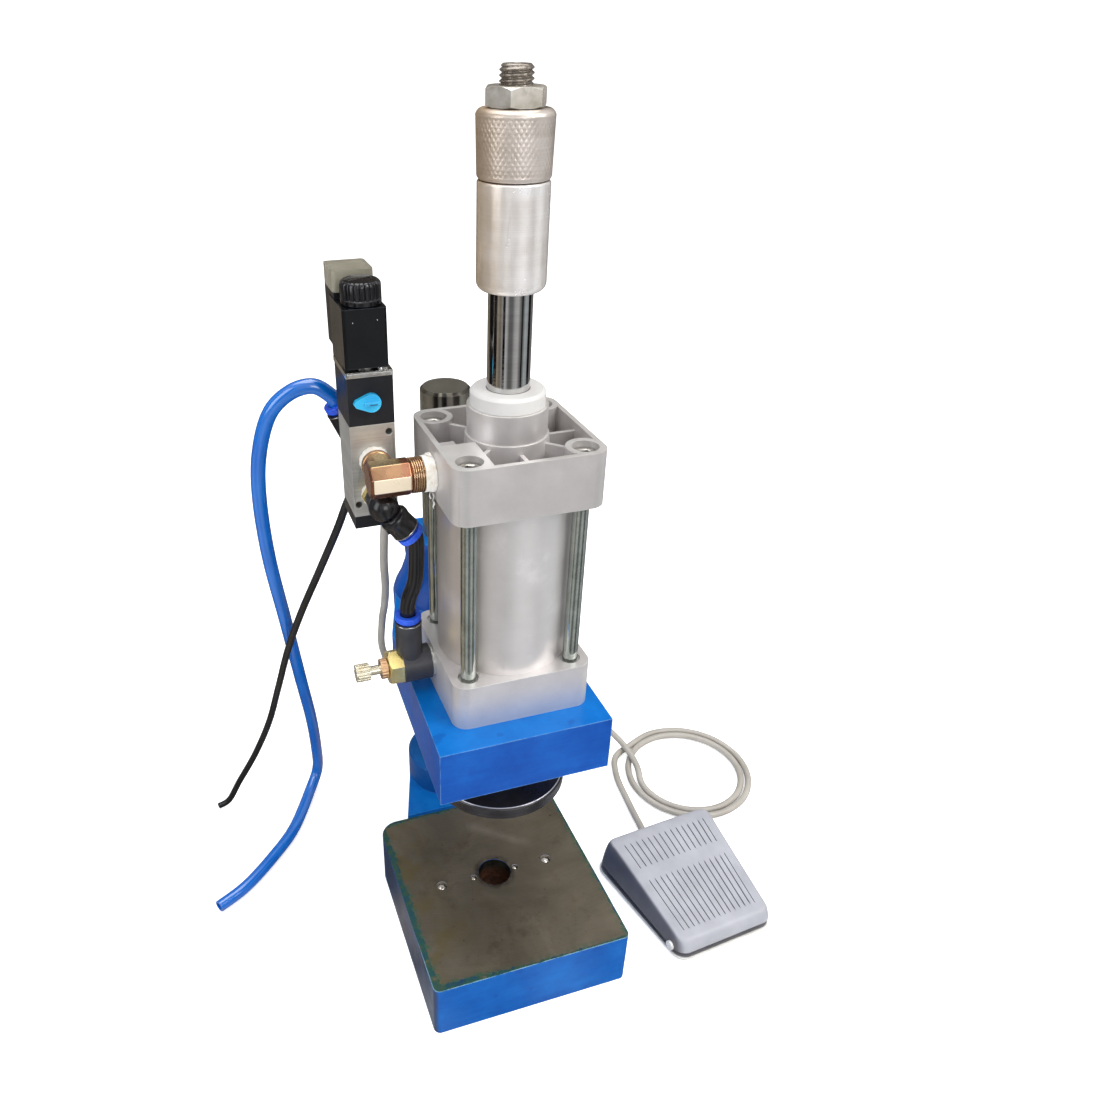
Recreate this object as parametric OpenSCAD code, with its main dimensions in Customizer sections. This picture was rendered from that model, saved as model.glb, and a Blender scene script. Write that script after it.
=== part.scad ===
// Small bench press: a C-frame arbor press whose ram is driven by a square
// tie-rod air cylinder with an adjustable stop on its upper rod, a solenoid
// valve on the left side and a foot switch on a cable.
// Frame: origin on the bench under the ram axis, +X to the right seen from
// the front, +Y to the rear (column side), +Z up. Millimetres.

/* [Base] */
// Width of the cast base from side to side
base_w = 123; // [115:1:140]
// Distance from the ram axis to the front of the base
base_front = 71.5; // [66:0.5:85]
// Distance from the ram axis to the rear edge of the machined table
base_rear = 62; // [58:0.5:66]
// Height of the machined table above the bench
table_h = 39; // [34:1:46]
// Diameter of the through hole under the ram
die_hole_d = 20.8; // [16:0.2:24]
// Distance between the two large tapped holes
big_tap_spacing = 71; // [60:1:80]
// Tapping diameter of the large holes
big_tap_d = 6.8; // [5:0.2:8.4]
// Distance between the two small tapped holes
small_tap_spacing = 28; // [26:1:34]
// Tapping diameter of the small holes
small_tap_d = 4.2; // [3.2:0.2:5]

/* [Column] */
// Diameter of the round column
column_d = 29; // [26:0.5:30]
// Distance from the ram axis back to the column axis
throat = 100; // [98:0.5:104]
// Height of the column top above the bench
column_top = 331.5; // [300:0.5:340]

/* [Head] */
// Underside of the head plate above the bench
head_z = 165.4; // [160:0.2:172]
// Thickness of the head plate
head_t = 32.8; // [28:0.2:34]
// Head plate edge to the left of the ram axis
head_left = 51; // [44:0.5:54]
// Head plate edge to the right of the ram axis
head_right = 43.5; // [42:0.5:54]
// Head plate edge in front of the ram axis
head_front = 53; // [46:0.5:60]

/* [Cylinder] */
// Side of the square end covers
cover_w = 75; // [74:0.5:78]
// Distance between tie rod axes
tie_spacing = 56; // [54:0.5:58]
// Tie rod diameter
tie_d = 8; // [7:0.5:9]
// Height of the lower cover
lower_cover_h = 26.1; // [24:0.1:28]
// Outer diameter of the barrel
barrel_d = 68; // [67:0.5:69]
// Cylinder bore
bore_d = 63; // [60:0.5:63]
// Length of the barrel between the covers
barrel_len = 91.8; // [88:0.2:120]
// Height of the upper cover
upper_cover_h = 27.9; // [26:0.1:30]
// Piston rod diameter
rod_d = 20; // [18:0.5:20]
// Working stroke, from the stop sleeve to the bumper ring
stroke = 44.3; // [20:0.1:46]

/* [Ram and stop] */
// Diameter of the press disc
disc_d = 78; // [60:1:84]
// Thickness of the press disc
disc_t = 8.7; // [8:0.1:12]
// Diameter of the stop sleeve
sleeve_d = 30.8; // [28:0.2:34]
// Length of the stop sleeve
sleeve_len = 44.6; // [40:0.2:50]
// Length of the knurled nut
knurl_len = 26.2; // [20:0.2:28]
// Diameter of the threaded end of the rod
stud_d = 14; // [12:1:14]

/* [Valve] */
// Width of the valve body
valve_w = 22; // [20:0.5:23]
// Front face of the valve behind the ram axis
valve_y = 20; // [19:0.5:22]
// Height of the aluminium valve body
valve_body_h = 47.6; // [46:0.2:50]

/* [Fittings and hoses] */
// Outside diameter of the air tubing
tube_d = 8; // [7:0.5:8]
// Outside diameter of the supply cable
cable_d = 4.4; // [3.6:0.2:5]
// Outside diameter of the foot switch cable
foot_cable_d = 4.8; // [4:0.2:5]

/* [Foot switch] */
// Length of the foot switch from heel to toe
pedal_len = 90; // [82:1:90]
// Width of the foot switch at the toe
pedal_wide = 89; // [86:1:94]
// Width of the foot switch at the heel
pedal_narrow = 73; // [70:1:80]
// Number of grip ribs in each group
pedal_ribs = 14; // [8:1:14]

/* [Hidden] */
$fn = 64;
fit = 0.02; // radial clearance of close fits

// cylinder heights
head_top = head_z + head_t;
lower_top = head_top + lower_cover_h;
upper_z = lower_top + barrel_len;
upper_top = upper_z + upper_cover_h;
boss_top = upper_top + 14;
spigot_h = 6; // reach of each cover into the barrel
piston_t = 24;
piston_z = upper_z - spigot_h - 2 - piston_t;

// ram and stop heights
bumper_h = 7.7;
sleeve_z = boss_top + bumper_h + stroke;
knurl_z = sleeve_z + sleeve_len + 0.4;
lock_z = knurl_z + knurl_len + 0.3;
lock_t = 7.6;
stud_top = lock_z + lock_t + 7.6;
disc_z = head_z - 30.7 - disc_t;
disc_top = disc_z + disc_t;

// radii and clearances of the ram
rod_r = rod_d / 2;
rod_run_r = rod_r + 0.04; // running fit on the rod
rod_seal_r = rod_r + 0.03;
stud_r = stud_d / 2;

// cylinder ports, on the left faces of the covers
port_r = 8.2;
port_up = [-cover_w / 2, -2, upper_z + 12.4];
port_lo = [-cover_w / 2, 6, head_top + 15.6];

// colours
c_blue = [0.04, 0.30, 0.68];
c_cast = [0.72, 0.71, 0.70];
c_alu = [0.78, 0.77, 0.76];
c_steel = [0.62, 0.61, 0.60];
c_chrome = [0.80, 0.80, 0.82];
c_dark = [0.10, 0.10, 0.11];
c_black = [0.05, 0.05, 0.06];
c_brass = [0.80, 0.66, 0.32];
c_copper = [0.66, 0.44, 0.32];
c_white = [0.96, 0.95, 0.92];
c_cyan = [0.18, 0.68, 0.92];
c_ring = [0.16, 0.30, 0.92];
c_hose = [0.10, 0.48, 0.86];
c_pedal = [0.74, 0.74, 0.78];
c_grey = [0.55, 0.54, 0.52];
c_smoke = [0.40, 0.38, 0.32, 0.6];

// ---- helpers -------------------------------------------------------------

module up(height) translate([0, 0, height]) children();

// stand a +Z shape along +X or +Y from a start point
module along_x(start) translate(start) rotate([0, 90, 0]) children();
module along_y(start) translate(start) rotate([-90, 0, 0]) children();
module cyl_x(start, radius, length) along_x(start) cylinder(r = radius, h = length);
module cyl_y(start, radius, length) along_y(start) cylinder(r = radius, h = length);

// cutter starting 1 below the local origin
module drill(radius, height) up(-1) cylinder(r = radius, h = height);

// box from its low corner to its high corner
module box(low, high) translate(low) cube(high - low);

// solid of revolution from [radius, height] points
module turned(points) rotate_extrude() polygon(points);

// hexagonal prism by its width across flats
module hex(flats, height) cylinder(d = flats / cos(30), h = height, $fn = 6);

// rounded rectangle centred on the origin
module rounded_rect(w, d, r) {
  square([w - 2 * r, d], center = true);
  square([w, d - 2 * r], center = true);
  for (x = [-1, 1], y = [-1, 1])
    translate([x * (w / 2 - r), y * (d / 2 - r)]) circle(r);
}

// four corners of a square pattern
module at_corners(spacing = tie_spacing)
  for (x = [-1, 1], y = [-1, 1]) translate([x * spacing / 2, y * spacing / 2, 0]) children();

// Catmull-Rom curve through the points, with a number of steps per span
function unit(v) = v / norm(v);
function spline(a, b, c, d, t) = 0.5 * (2 * b + (c - a) * t
  + (2 * a - 5 * b + 4 * c - d) * t * t + (3 * b - a - 3 * c + d) * t * t * t);
function curve(points, steps) = let (last = len(points) - 1) [
  for (i = [0:last - 1]) for (j = [0:steps - 1])
    spline(points[max(i - 1, 0)], points[i], points[i + 1], points[min(i + 2, last)], j / steps),
  points[last]];
function tangent(path, i) = unit(path[min(i + 1, len(path) - 1)] - path[max(i - 1, 0)]);

// turn a side vector square to the next tangent
function carry(side, along) = unit(side - (side * along) * along);

// round hose along a path; the side vectors are carried along so it doesn't twist
module hose(path, radius, sides = 10) {
  count = len(path);
  side = [for (i = 0, u = carry([0.31, 0.17, 0.93], tangent(path, 0)); i < count;
    i = i + 1, u = carry(u, tangent(path, min(i, count - 1)))) u];
  vertices = [for (i = [0:count - 1])
    let (other = cross(tangent(path, i), side[i])) for (k = [0:sides - 1])
      path[i] + radius * (cos(360 * k / sides) * side[i] + sin(360 * k / sides) * other)];
  faces = concat(
    [[for (k = [0:sides - 1]) k]],
    [for (i = [0:count - 2]) for (k = [0:sides - 1])
      let (a = i * sides + k, b = i * sides + (k + 1) % sides)
        for (face = [[b + sides, b, a], [a + sides, b + sides, a]]) face],
    [[for (k = [0:sides - 1]) count * sides - 1 - k]]);
  polyhedron(vertices, faces, convexity = 8);
}

// ---- frame ---------------------------------------------------------------

set_screw_z = 46;
front_corner_r = 4;
rear_corner_r = 12;
clamp_y = throat + 34;

// neck plan, from the table back to the column boss
neck_plan = [[-41, base_rear], [41, base_rear], [28.3, throat + 3], [-28.3, throat + 3]];

// head plate plan, tapering back to the column sleeve
head_plan = [[-head_left, -head_front], [head_right, -head_front], [head_right + 0.5, 58],
  [34, 100], [-34, 100], [-47, 58]];

// column sleeve of the head: radius, height
head_sleeve_profile = [[0, head_z - 15], [30, head_z - 15], [34, head_z + 1],
  [34.5, head_top - 2], [33, head_top + 3], [29.5, head_top + 10], [26.5, head_top + 19],
  [25, head_top + 28], [24, head_top + 38], [22.5, head_top + 40], [0, head_top + 40]];

// table plan with small front corners and large rear ones
module base_outline() {
  half = base_w / 2;
  f = front_corner_r;
  r = rear_corner_r;
  translate([-half, -base_front + f]) square([2 * half, base_front + base_rear - f - r]);
  translate([-half + f, -base_front]) square([2 * half - 2 * f, f + 1]);
  translate([-half + r, base_rear - r - 1]) square([2 * half - 2 * r, r + 1]);
  for (side = [-1, 1]) {
    translate([side * (half - f), -base_front + f]) circle(f);
    translate([side * (half - r), base_rear - r]) circle(r);
  }
}

// cast base: machined table, neck and column boss
module base_casting() color(c_blue) difference() {
  union() {
    linear_extrude(table_h) base_outline();
    linear_extrude(table_h + 2.4) polygon(neck_plan);
    translate([0, throat, 0]) turned([[0, 0], [28.5, 0], [28.5, 60.2], [26.7, 62], [0, 62]]);
  }
  up(-1) cylinder(d = die_hole_d, h = table_h + 2);
  for (side = [-1, 1]) {
    translate([side * big_tap_spacing / 2, 0, table_h - 24]) cylinder(d = big_tap_d, h = 30);
    translate([side * small_tap_spacing / 2, 0, table_h - 16]) cylinder(d = small_tap_d, h = 20);
  }
  translate([0, throat, 6]) cylinder(d = column_d + 2 * fit, h = 80);
  cyl_y([0, throat + 5, set_screw_z], 4.05, 40);
}

// round column with chamfered ends
module column() color(c_steel) translate([0, throat, 0])
  turned([[0, 6.2], [column_d / 2 - 1, 6.2], [column_d / 2, 7.2],
    [column_d / 2, column_top - 1.6], [column_d / 2 - 1.6, column_top], [0, column_top]]);

// socket set screw holding the column in the base
module base_set_screw() color(c_dark) difference() {
  cyl_y([0, throat + column_d / 2 + 0.05, set_screw_z], 4, 11);
  along_y([0, throat + column_d / 2 + 7, set_screw_z]) hex(4, 8);
}

module at_clamp_bolts()
  for (z = [head_z + 10, head_top + 10]) translate([0, clamp_y, z]) children();

// head: cylinder plate, column sleeve and split clamp ears
module head_casting() color(c_blue) difference() {
  union() {
    up(head_z) linear_extrude(head_t) {
      polygon(head_plan);
      translate([0, throat]) circle(34);
    }
    translate([0, throat, 0]) turned(head_sleeve_profile);
    box([-13, throat + 15, head_z - 8], [13, throat + 46, head_top + 26]);
  }
  translate([0, throat, 100]) cylinder(d = column_d + 0.06, h = 200);
  // clamp slit
  box([-1.5, throat + 5, 100], [1.5, throat + 60, 300]);
  // seat of the lower cover nose
  up(head_z - 1) cylinder(r = 19.1, h = head_t + 2);
  at_corners() {
    up(head_z - 1) cylinder(r = 4.3, h = head_t + 2);
    up(head_z - 1) cylinder(r = 7, h = 10.5);
  }
  // bolt hole, bolt head pocket on the left, nut pocket on the right
  at_clamp_bolts() {
    cyl_x([-20, 0, 0], 4.1, 40);
    cyl_x([-30, 0, 0], 7.2, 21);
    cyl_x([9, 0, 0], 7.6, 20);
  }
}

// clamp bolts and nuts through the ears at the rear of the head
module head_clamp_bolts() color(c_steel) at_clamp_bolts() {
  difference() {
    union() {
      cyl_x([-9, 0, 0], 4, 24);
      cyl_x([-17, 0, 0], 6.5, 8);
    }
    along_x([-18, 0, 0]) hex(6, 5);
  }
  along_x([9.02, 0, 0]) difference() {
    hex(12.6, 5.5);
    drill(4.02, 8);
  }
}

// ---- cylinder ------------------------------------------------------------

half_cover = cover_w / 2;
spigot_r = bore_d / 2 - 0.05;
bush_r = 13;
barrel_seal_zs = [lower_top + 3.5, upper_z - 3.5];
barrel_groove_h = 2.6;

module cover_block(height) linear_extrude(height) rounded_rect(cover_w, cover_w, 8);

module tie_holes(z) up(z) cylinder(r = tie_d / 2 + fit, h = 60);

// threaded port and its air passage
module port_cut(port) {
  cyl_x(port - [1, 0, 0], port_r + 0.05, 13);
  cyl_x(port, 3, 20);
}

// o-ring groove in a spigot, centred on height z
module barrel_seal_groove(z) up(z - barrel_groove_h / 2)
  rotate_extrude() translate([bore_d / 2 - 2.4, 0]) square([4, barrel_groove_h]);

// lower end cover with its guide nose
module bottom_cover() color(c_cast) difference() {
  union() {
    up(head_top) cover_block(lower_cover_h);
    up(head_top - 20) cylinder(r = 19, h = 21);
    up(lower_top - 1) cylinder(r = spigot_r, h = spigot_h + 1);
  }
  up(head_top - 30) cylinder(r = rod_r + 1, h = 100);
  up(head_top - 19) cylinder(r = bush_r, h = 25);
  up(head_top - 30) cylinder(r = 14.6, h = 16);
  up(lower_top - 12) cylinder(r = 20, h = 30);
  at_corners() {
    tie_holes(head_top - 1);
    up(lower_top - 1.6) cylinder(r = 5.4, h = 5);
  }
  port_cut(port_lo);
  barrel_seal_groove(barrel_seal_zs[0]);
}

// drawn aluminium barrel
module barrel_tube() color(c_alu) up(lower_top + 0.02) difference() {
  cylinder(d = barrel_d, h = barrel_len - 0.04);
  up(-1) cylinder(d = bore_d, h = barrel_len + 2);
}

// upper end cover: ribbed pocket, corner bosses and central guide boss
module top_cover() color(c_cast) difference() {
  union() {
    difference() {
      up(upper_z) cover_block(upper_cover_h);
      up(upper_top - 15) linear_extrude(20) rounded_rect(cover_w - 5, cover_w - 5, 6);
    }
    // corner bosses and the thick left wall around the port
    intersection() {
      up(upper_z) cover_block(upper_cover_h);
      union() {
        at_corners() cylinder(r = 9.4, h = upper_top);
        at_corners(tie_spacing + 8) cylinder(r = 9, h = upper_top);
        box([-half_cover, -half_cover, 0], [-half_cover + 18.8, -8, upper_top]);
        box([-half_cover, -9, 0], [-half_cover + 13.4, 8, upper_top - 5.5]);
      }
    }
    // diagonal ribs, then the lower straight ribs
    for (a = [45, 135, 225, 315])
      rotate([0, 0, a]) box([14, -1, upper_z + 6], [34, 1, upper_top - 2.2]);
    for (a = [0, 90, 270])
      rotate([0, 0, a]) box([14, -1, upper_z + 6], [36, 1, upper_top - 4.2]);
    up(upper_z + 8) cylinder(r1 = 21.6, r2 = 20, h = upper_top - upper_z - 8);
    up(upper_top - 1) cylinder(r = 19.2, h = boss_top - upper_top + 1);
    up(upper_z - spigot_h) cylinder(r = spigot_r, h = spigot_h + 1);
  }
  up(upper_z - 10) cylinder(r = rod_r + 1, h = 100);
  up(upper_z - 10) cylinder(r = 20, h = 16);
  up(boss_top - 26) cylinder(r = bush_r, h = 30);
  at_corners() {
    tie_holes(upper_z - 1);
    up(upper_top - 12) cylinder(r = 6.5, h = 20);
  }
  port_cut(port_up);
  barrel_seal_groove(barrel_seal_zs[1]);
}

// four tie rods
module tie_rods() color(c_chrome) at_corners()
  up(head_top + 8) cylinder(d = tie_d, h = upper_top - 5 - head_top - 8);

// socketed tie rod nuts sunk in the upper cover
module tie_rod_nuts() color(c_steel) at_corners() up(upper_top - 11.9) difference() {
  turned([[0, 0], [6.3, 0], [6.3, 8.2], [5.5, 9], [0, 9]]);
  drill(tie_d / 2 + 0.01, 7.95);
  up(5) hex(6, 8);
}

// socket head screws from under the head into the lower cover
module cylinder_screws() color(c_dark) at_corners() up(head_z + 1.5) difference() {
  union() {
    cylinder(r = 6.5, h = 8);
    up(7) cylinder(r = 4, h = head_top + 7.9 - head_z - 1.5 - 7);
  }
  up(-1) hex(6, 5);
}

// static seals between barrel and covers
module barrel_o_rings() color(c_black) for (z = barrel_seal_zs)
  up(z) rotate_extrude() translate([bore_d / 2 - 1.22, 0]) circle(1.17, $fn = 24);

// bronze guide bushes of the two covers: bottom, length
module rod_bushes() color(c_copper)
  for (bush = [[head_top - 13.9, 19.8], [boss_top - 25.9, 15]]) up(bush[0]) difference() {
    cylinder(r = bush_r - 0.02, h = bush[1]);
    drill(rod_run_r, 30);
  }

// wiper seals at the outer ends of the bushes: bottom, radius, length
module rod_seals() color(c_black)
  for (seal = [[head_top - 19.6, 14.5, 5.5], [boss_top - 10.8, 12.95, 7]])
    up(seal[0]) difference() {
      cylinder(r = seal[1], h = seal[2]);
      drill(rod_seal_r, 10);
    }

// ---- ram -----------------------------------------------------------------

piston_groove_zs = [4, 15]; // above the piston underside
disc_screw_r = 4;

// piston with two seal grooves
module piston() color(c_alu) up(piston_z) difference() {
  cylinder(r = bore_d / 2 - 0.1, h = piston_t);
  drill(rod_r + 0.01, piston_t + 2);
  for (z = piston_groove_zs)
    up(z) rotate_extrude() translate([bore_d / 2 - 5, 0]) square([10, 5]);
}

// seal rings in the piston grooves
module piston_seals() color(c_black)
  for (z = piston_groove_zs) up(piston_z + z + 0.03) difference() {
    cylinder(r = bore_d / 2 - 0.03, h = 4.94);
    drill(bore_d / 2 - 4.97, 10);
  }

// double-ended piston rod with threaded upper end
module piston_rod() color(c_chrome) difference() {
  turned([[0, disc_top + 0.02], [rod_r - 1, disc_top + 0.02], [rod_r, disc_top + 1],
    [rod_r, sleeve_z + 20], [rod_r - 1, sleeve_z + 21], [stud_r - 0.05, sleeve_z + 21],
    [stud_r - 0.05, stud_top - 1.5], [stud_r - 1.5, stud_top], [0, stud_top]]);
  up(disc_z) cylinder(r = disc_screw_r + 0.02, h = 32);
}

// white bumper ring on the upper boss
module bumper_ring() color(c_white) difference() {
  up(boss_top + 0.02) turned([[0, 0], [17.8, 0], [17.8, 6.2], [16.4, 7.66], [0, 7.66]]);
  up(boss_top - 1) cylinder(r = rod_r + 0.2, h = 20);
}

// flat press disc with a countersunk hole
module press_disc() color(c_black) up(disc_z) difference() {
  turned([[0, 0], [disc_d / 2 - 1.4, 0], [disc_d / 2, 1.4], [disc_d / 2, disc_t - 1.2],
    [disc_d / 2 - 1.2, disc_t], [0, disc_t]]);
  drill(4.3, 20);
  up(-0.01) cylinder(r1 = 8.6, r2 = 4.3, h = 4.4);
}

// countersunk screw holding the disc on the rod
module disc_screw() color(c_steel) up(disc_z) difference() {
  union() {
    up(0.2) cylinder(r1 = 8.2, r2 = disc_screw_r, h = 4.3);
    up(0.2) cylinder(r = disc_screw_r, h = 26);
  }
  up(-1) hex(5, 4);
}

// plain stop sleeve around the rod, rounded at its lower edge
module stop_sleeve() color(c_steel) up(sleeve_z) difference() {
  outer = sleeve_d / 2;
  edge = 4;
  rotate_extrude() {
    polygon([[0, 0], [outer - edge, 0], [outer - edge, edge], [outer, edge],
      [outer, sleeve_len - 0.6], [outer - 0.6, sleeve_len], [0, sleeve_len]]);
    intersection() {
      translate([outer - edge, edge]) circle(edge);
      square([outer, 8]);
    }
  }
  drill(rod_run_r, 27);
  up(3) cylinder(r = stud_r + 0.6, h = 90);
}

// stop nut, turned without its knurl
module knurled_nut() color(c_steel) up(knurl_z) difference() {
  turned([[0, 0], [sleeve_d / 2 - 1, 0], [sleeve_d / 2 + 0.2, 1.4],
    [sleeve_d / 2 + 0.9, knurl_len - 2.2], [sleeve_d / 2 - 1.2, knurl_len], [0, knurl_len]]);
  drill(stud_r, 60);
}

// hexagonal lock nut
module lock_nut() color(c_steel) up(lock_z) difference() {
  intersection() {
    hex(22.6, lock_t);
    turned([[0, 0], [11.6, 0], [13.4, 1.1], [13.4, lock_t - 1.4], [11.3, lock_t], [0, lock_t]]);
  }
  drill(stud_r, 30);
}

// ---- valve ---------------------------------------------------------------

valve_x = -60.5; // centre line of the valve

// levels of the stack, from the bottom of the aluminium body up
valve_z = 299;
body_top = valve_z + valve_body_h;
block_top = body_top + 23.6;
plate_top = block_top + 2.6;
coil_top = plate_top + 28.5;

valve_thread_r = 6.35;
low_port_z = valve_z + 12;
front_port_zs = [low_port_z, port_up[2]];
inlet_z = valve_z + 24;
exhaust_zs = [valve_z + 8, valve_z + 40];
override_z = body_top + 11.6;
spool_y = 13; // behind the valve front
armature_y = 9.8; // behind the valve front
armature_hole_r = 5.1;
gland = [valve_x - 1, valve_y + 36, plate_top - 8];
gland_cable_x = 2.65; // each cable to the side of the gland axis

// frame on the valve centre line and front face, z still from the bench
module at_valve() translate([valve_x, valve_y, 0]) children();
module at_armature() at_valve() translate([0, armature_y, 0]) children();

// slab as wide as the valve
module valve_slab(depth, bottom, top)
  box([-valve_w / 2, 0, bottom], [valve_w / 2, depth, top]);

// aluminium valve body with two front ports and three rear ports
module valve_body() color(c_alu) at_valve() difference() {
  valve_slab(26, valve_z, body_top);
  translate([0, spool_y, valve_z - 1]) cylinder(r = 5.5, h = 80);
  for (z = front_port_zs) {
    cyl_y([0, -1, z], valve_thread_r + 0.05, 7.2);
    cyl_y([0, 0, z], 2.5, 13);
  }
  for (z = [exhaust_zs[0], inlet_z, exhaust_zs[1]]) cyl_y([0, spool_y, z], 2.5, 20);
  cyl_y([0, 19.5, inlet_z], valve_thread_r + 0.05, 20);
  for (z = exhaust_zs) cyl_y([0, 21, z], 4.4, 20);
  // two small holes from front to rear
  cyl_y([8, -1, body_top - 4.4], 1.7, 40);
  cyl_y([-8.6, -1, valve_z + 6.6], 1.7, 40);
}

// spool with its lands
module valve_spool() color(c_steel) at_valve() translate([0, spool_y, valve_z + 0.5]) {
  cylinder(r = 2.6, h = valve_body_h - 5);
  for (z = [0, 8, 17, 26, 35]) up(z) cylinder(r = 5.45, h = 5);
}

// black cap on the lower end of the valve body
module valve_end_cap() color(c_black) at_valve() difference() {
  valve_slab(26, valve_z - 6.5, valve_z - 0.02);
  for (side = [-1, 1]) translate([side * 8, 5, valve_z - 7]) cylinder(r = 1.6, h = 2.5);
}

// pilot block between the body and the coil
module pilot_block() color(c_black) difference() {
  at_valve() valve_slab(27, body_top + 0.02, block_top);
  at_valve() cyl_y([0, -1, override_z], 3.2, 11);
  at_armature() up(block_top - 6) cylinder(r = armature_hole_r, h = 20);
}

// hand override: a teardrop lever on a short shaft
module manual_override() color(c_cyan) at_valve() up(override_z) {
  translate([0, 9.5, 0]) rotate([90, 0, 0]) cylinder(r = 3.15, h = 10.5);
  translate([0, -0.1, 0]) rotate([90, 0, 0]) {
    cylinder(r = 4.4, h = 2.6);
    linear_extrude(2.6)
      polygon([[-1.6, 4.1], [-7.6, 1.6], [-8.6, 0], [-7.6, -1.6], [-1.6, -4.1]]);
    up(2.5) linear_extrude(1.1) polygon([[3.6, -0.6], [3.6, 0.6], [-3.6, 0.6], [-3.6, -0.6]]);
  }
}

// steel plate under the coil and its small screw
module coil_bracket() color(c_chrome) {
  difference() {
    at_valve() box([-11.2, -0.6, block_top + 0.02], [11, 28, plate_top - 0.02]);
    at_armature() up(block_top - 1) cylinder(r = armature_hole_r, h = 20);
  }
  at_valve() translate([7, 1, plate_top - 0.04]) cylinder(r = 2.1, h = 1.4);
}

// moulded coil, stepped back from the screw at its lower front
module coil_housing() color(c_dark) difference() {
  at_valve() {
    translate([-0.7, 15.2, plate_top + 1.42]) linear_extrude(coil_top - plate_top - 1.42)
      rounded_rect(20.4, 30.4, 1.4);
    translate([-0.7, 18.2, plate_top]) linear_extrude(4) rounded_rect(20.4, 24.4, 1.4);
  }
  at_armature() up(plate_top - 1) cylinder(r = armature_hole_r, h = 60);
}

// armature tube through the coil
module armature_tube() color(c_chrome) at_armature() difference() {
  up(block_top - 5.9) cylinder(r = 5.05, h = coil_top + 8 - block_top + 5.9);
  up(block_top - 4.5) cylinder(r = 4, h = 26);
}

module armature_plunger() color(c_steel)
  at_armature() up(block_top - 4.3) cylinder(r = 3.95, h = 22);

// slotted round nut on top of the coil
module coil_nut() color(c_black) at_armature() up(coil_top + 0.02) difference() {
  turned([[0, 0], [9, 0], [9.4, 1], [9.4, 9.4], [8.6, 10.6], [0, 11.2]]);
  drill(armature_hole_r, 9.2);
  for (a = [0:15:345])
    rotate([0, 0, a]) translate([9.9, 0, 2.5]) cylinder(r = 0.9, h = 20, $fn = 12);
  rotate([0, 0, 18]) box([-8, -0.9, 9.6], [8, 0.9, 20]);
}

// cable connector: black base behind the coil, reaching forward over it
module connector_base() color(c_black) difference() {
  at_valve() {
    box([-10.4, 30.5, plate_top + 4], [8.6, 41, coil_top + 0.4]);
    box([-10.4, 20.2, coil_top + 0.04], [8.6, 41, coil_top + 2.6]);
  }
  translate(gland - [0, 0, 2]) cylinder(r = 4.4, h = 22);
}

// smoky hollow cover of the connector
module connector_cover() color(c_smoke) at_valve() difference() {
  translate([-0.9, 30.8, coil_top + 2.62]) linear_extrude(9.6) rounded_rect(19.4, 21, 2);
  translate([-0.9, 30.8, coil_top + 1]) linear_extrude(9.4) rounded_rect(16.4, 18, 1.2);
}

// cable gland under the connector, with a hole for each cable
module cable_gland() color(c_black) translate(gland) difference() {
  union() {
    up(4) hex(11, 7.98);
    cylinder(r = 6.6, h = 4.9);
    up(8) cylinder(r = 4.35, h = 11);
  }
  translate([-gland_cable_x, 0, 0]) drill(cable_d / 2 + fit, 8);
  translate([gland_cable_x, 0, 0]) drill(foot_cable_d / 2 + fit, 8);
}

// ---- fittings ------------------------------------------------------------

// swivel elbow centre, and its socket's lean from straight down towards the cylinder
elbow = [valve_x, 4, low_port_z];
elbow_tilt = 37;
elbow_dir = [sin(elbow_tilt), 0, -cos(elbow_tilt)];

// inlet elbow centre, and its socket's lean from straight up to the left
inlet = [valve_x, valve_y + 42, inlet_z];
inlet_tilt = 24;
inlet_dir = [-sin(inlet_tilt), 0, cos(inlet_tilt)];

// speed controller centre and the height of its tube socket above it
controller = port_lo - [12.4, 0, 0];
socket_h = 28;
needle_r = 2.6;

module on_elbow() translate(elbow) rotate([0, 180 - elbow_tilt, 0]) children();
module on_inlet() translate(inlet) rotate([0, -inlet_tilt, 0]) children();
module at_controller() translate(controller) children();

// tube bore from the seat height and wider collar bore from the collar height
module push_in_bore(seat, collar, length) {
  up(seat) cylinder(r = tube_d / 2 + 0.05, h = length);
  up(collar) cylinder(r = 5.6, h = length);
}

// collar that frees the tube when pushed in
module release_ring() difference() {
  union() {
    up(0.8) cylinder(r = 6.9, h = 3.2);
    up(-3) cylinder(r = 5.55, h = 5);
  }
  up(-4) cylinder(r = tube_d / 2 + 0.2, h = 20);
}

// forged elbow from the upper cylinder port to the upper valve port
module brass_elbow() color(c_copper) translate(port_up) {
  reach_x = valve_x - port_up[0];
  reach_y = valve_y - port_up[1];
  cyl_x([-8.5, 0, 0], port_r, 17);
  along_x([-31.2, 0, 0]) rotate([0, 0, 22.5]) cylinder(r = 8.9, h = 24, $fn = 8);
  cyl_y([reach_x, 0, 0], 7.7, reach_y - 10);
  cyl_y([reach_x, reach_y - 12, 0], valve_thread_r, 17);
}

// white sealing tape at the threads
module thread_tape() color(c_white) {
  translate(port_up) difference() {
    cyl_x([-5.2, 0, 0], 9.7, 5.15);
    cyl_x([-6, 0, 0], port_r + fit, 8);
  }
  // height, reach in front of the valve, radius
  for (tape = [[port_up[2], 3.6, 8], [low_port_z, 1.58, 7.6]]) at_valve() difference() {
    cyl_y([0, -tape[1], tape[0]], tape[2], tape[1] - 0.03);
    cyl_y([0, -8, tape[0]], valve_thread_r + fit, 10);
  }
}

// brass stud of the swivel elbow in the lower valve port
module elbow_stud() color(c_brass) at_valve() {
  along_y([0, -5.6, low_port_z]) hex(13, 4);
  cyl_y([0, -2, low_port_z], valve_thread_r, 8);
  cyl_y([0, -9, low_port_z], 4.2, 4);
}

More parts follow.
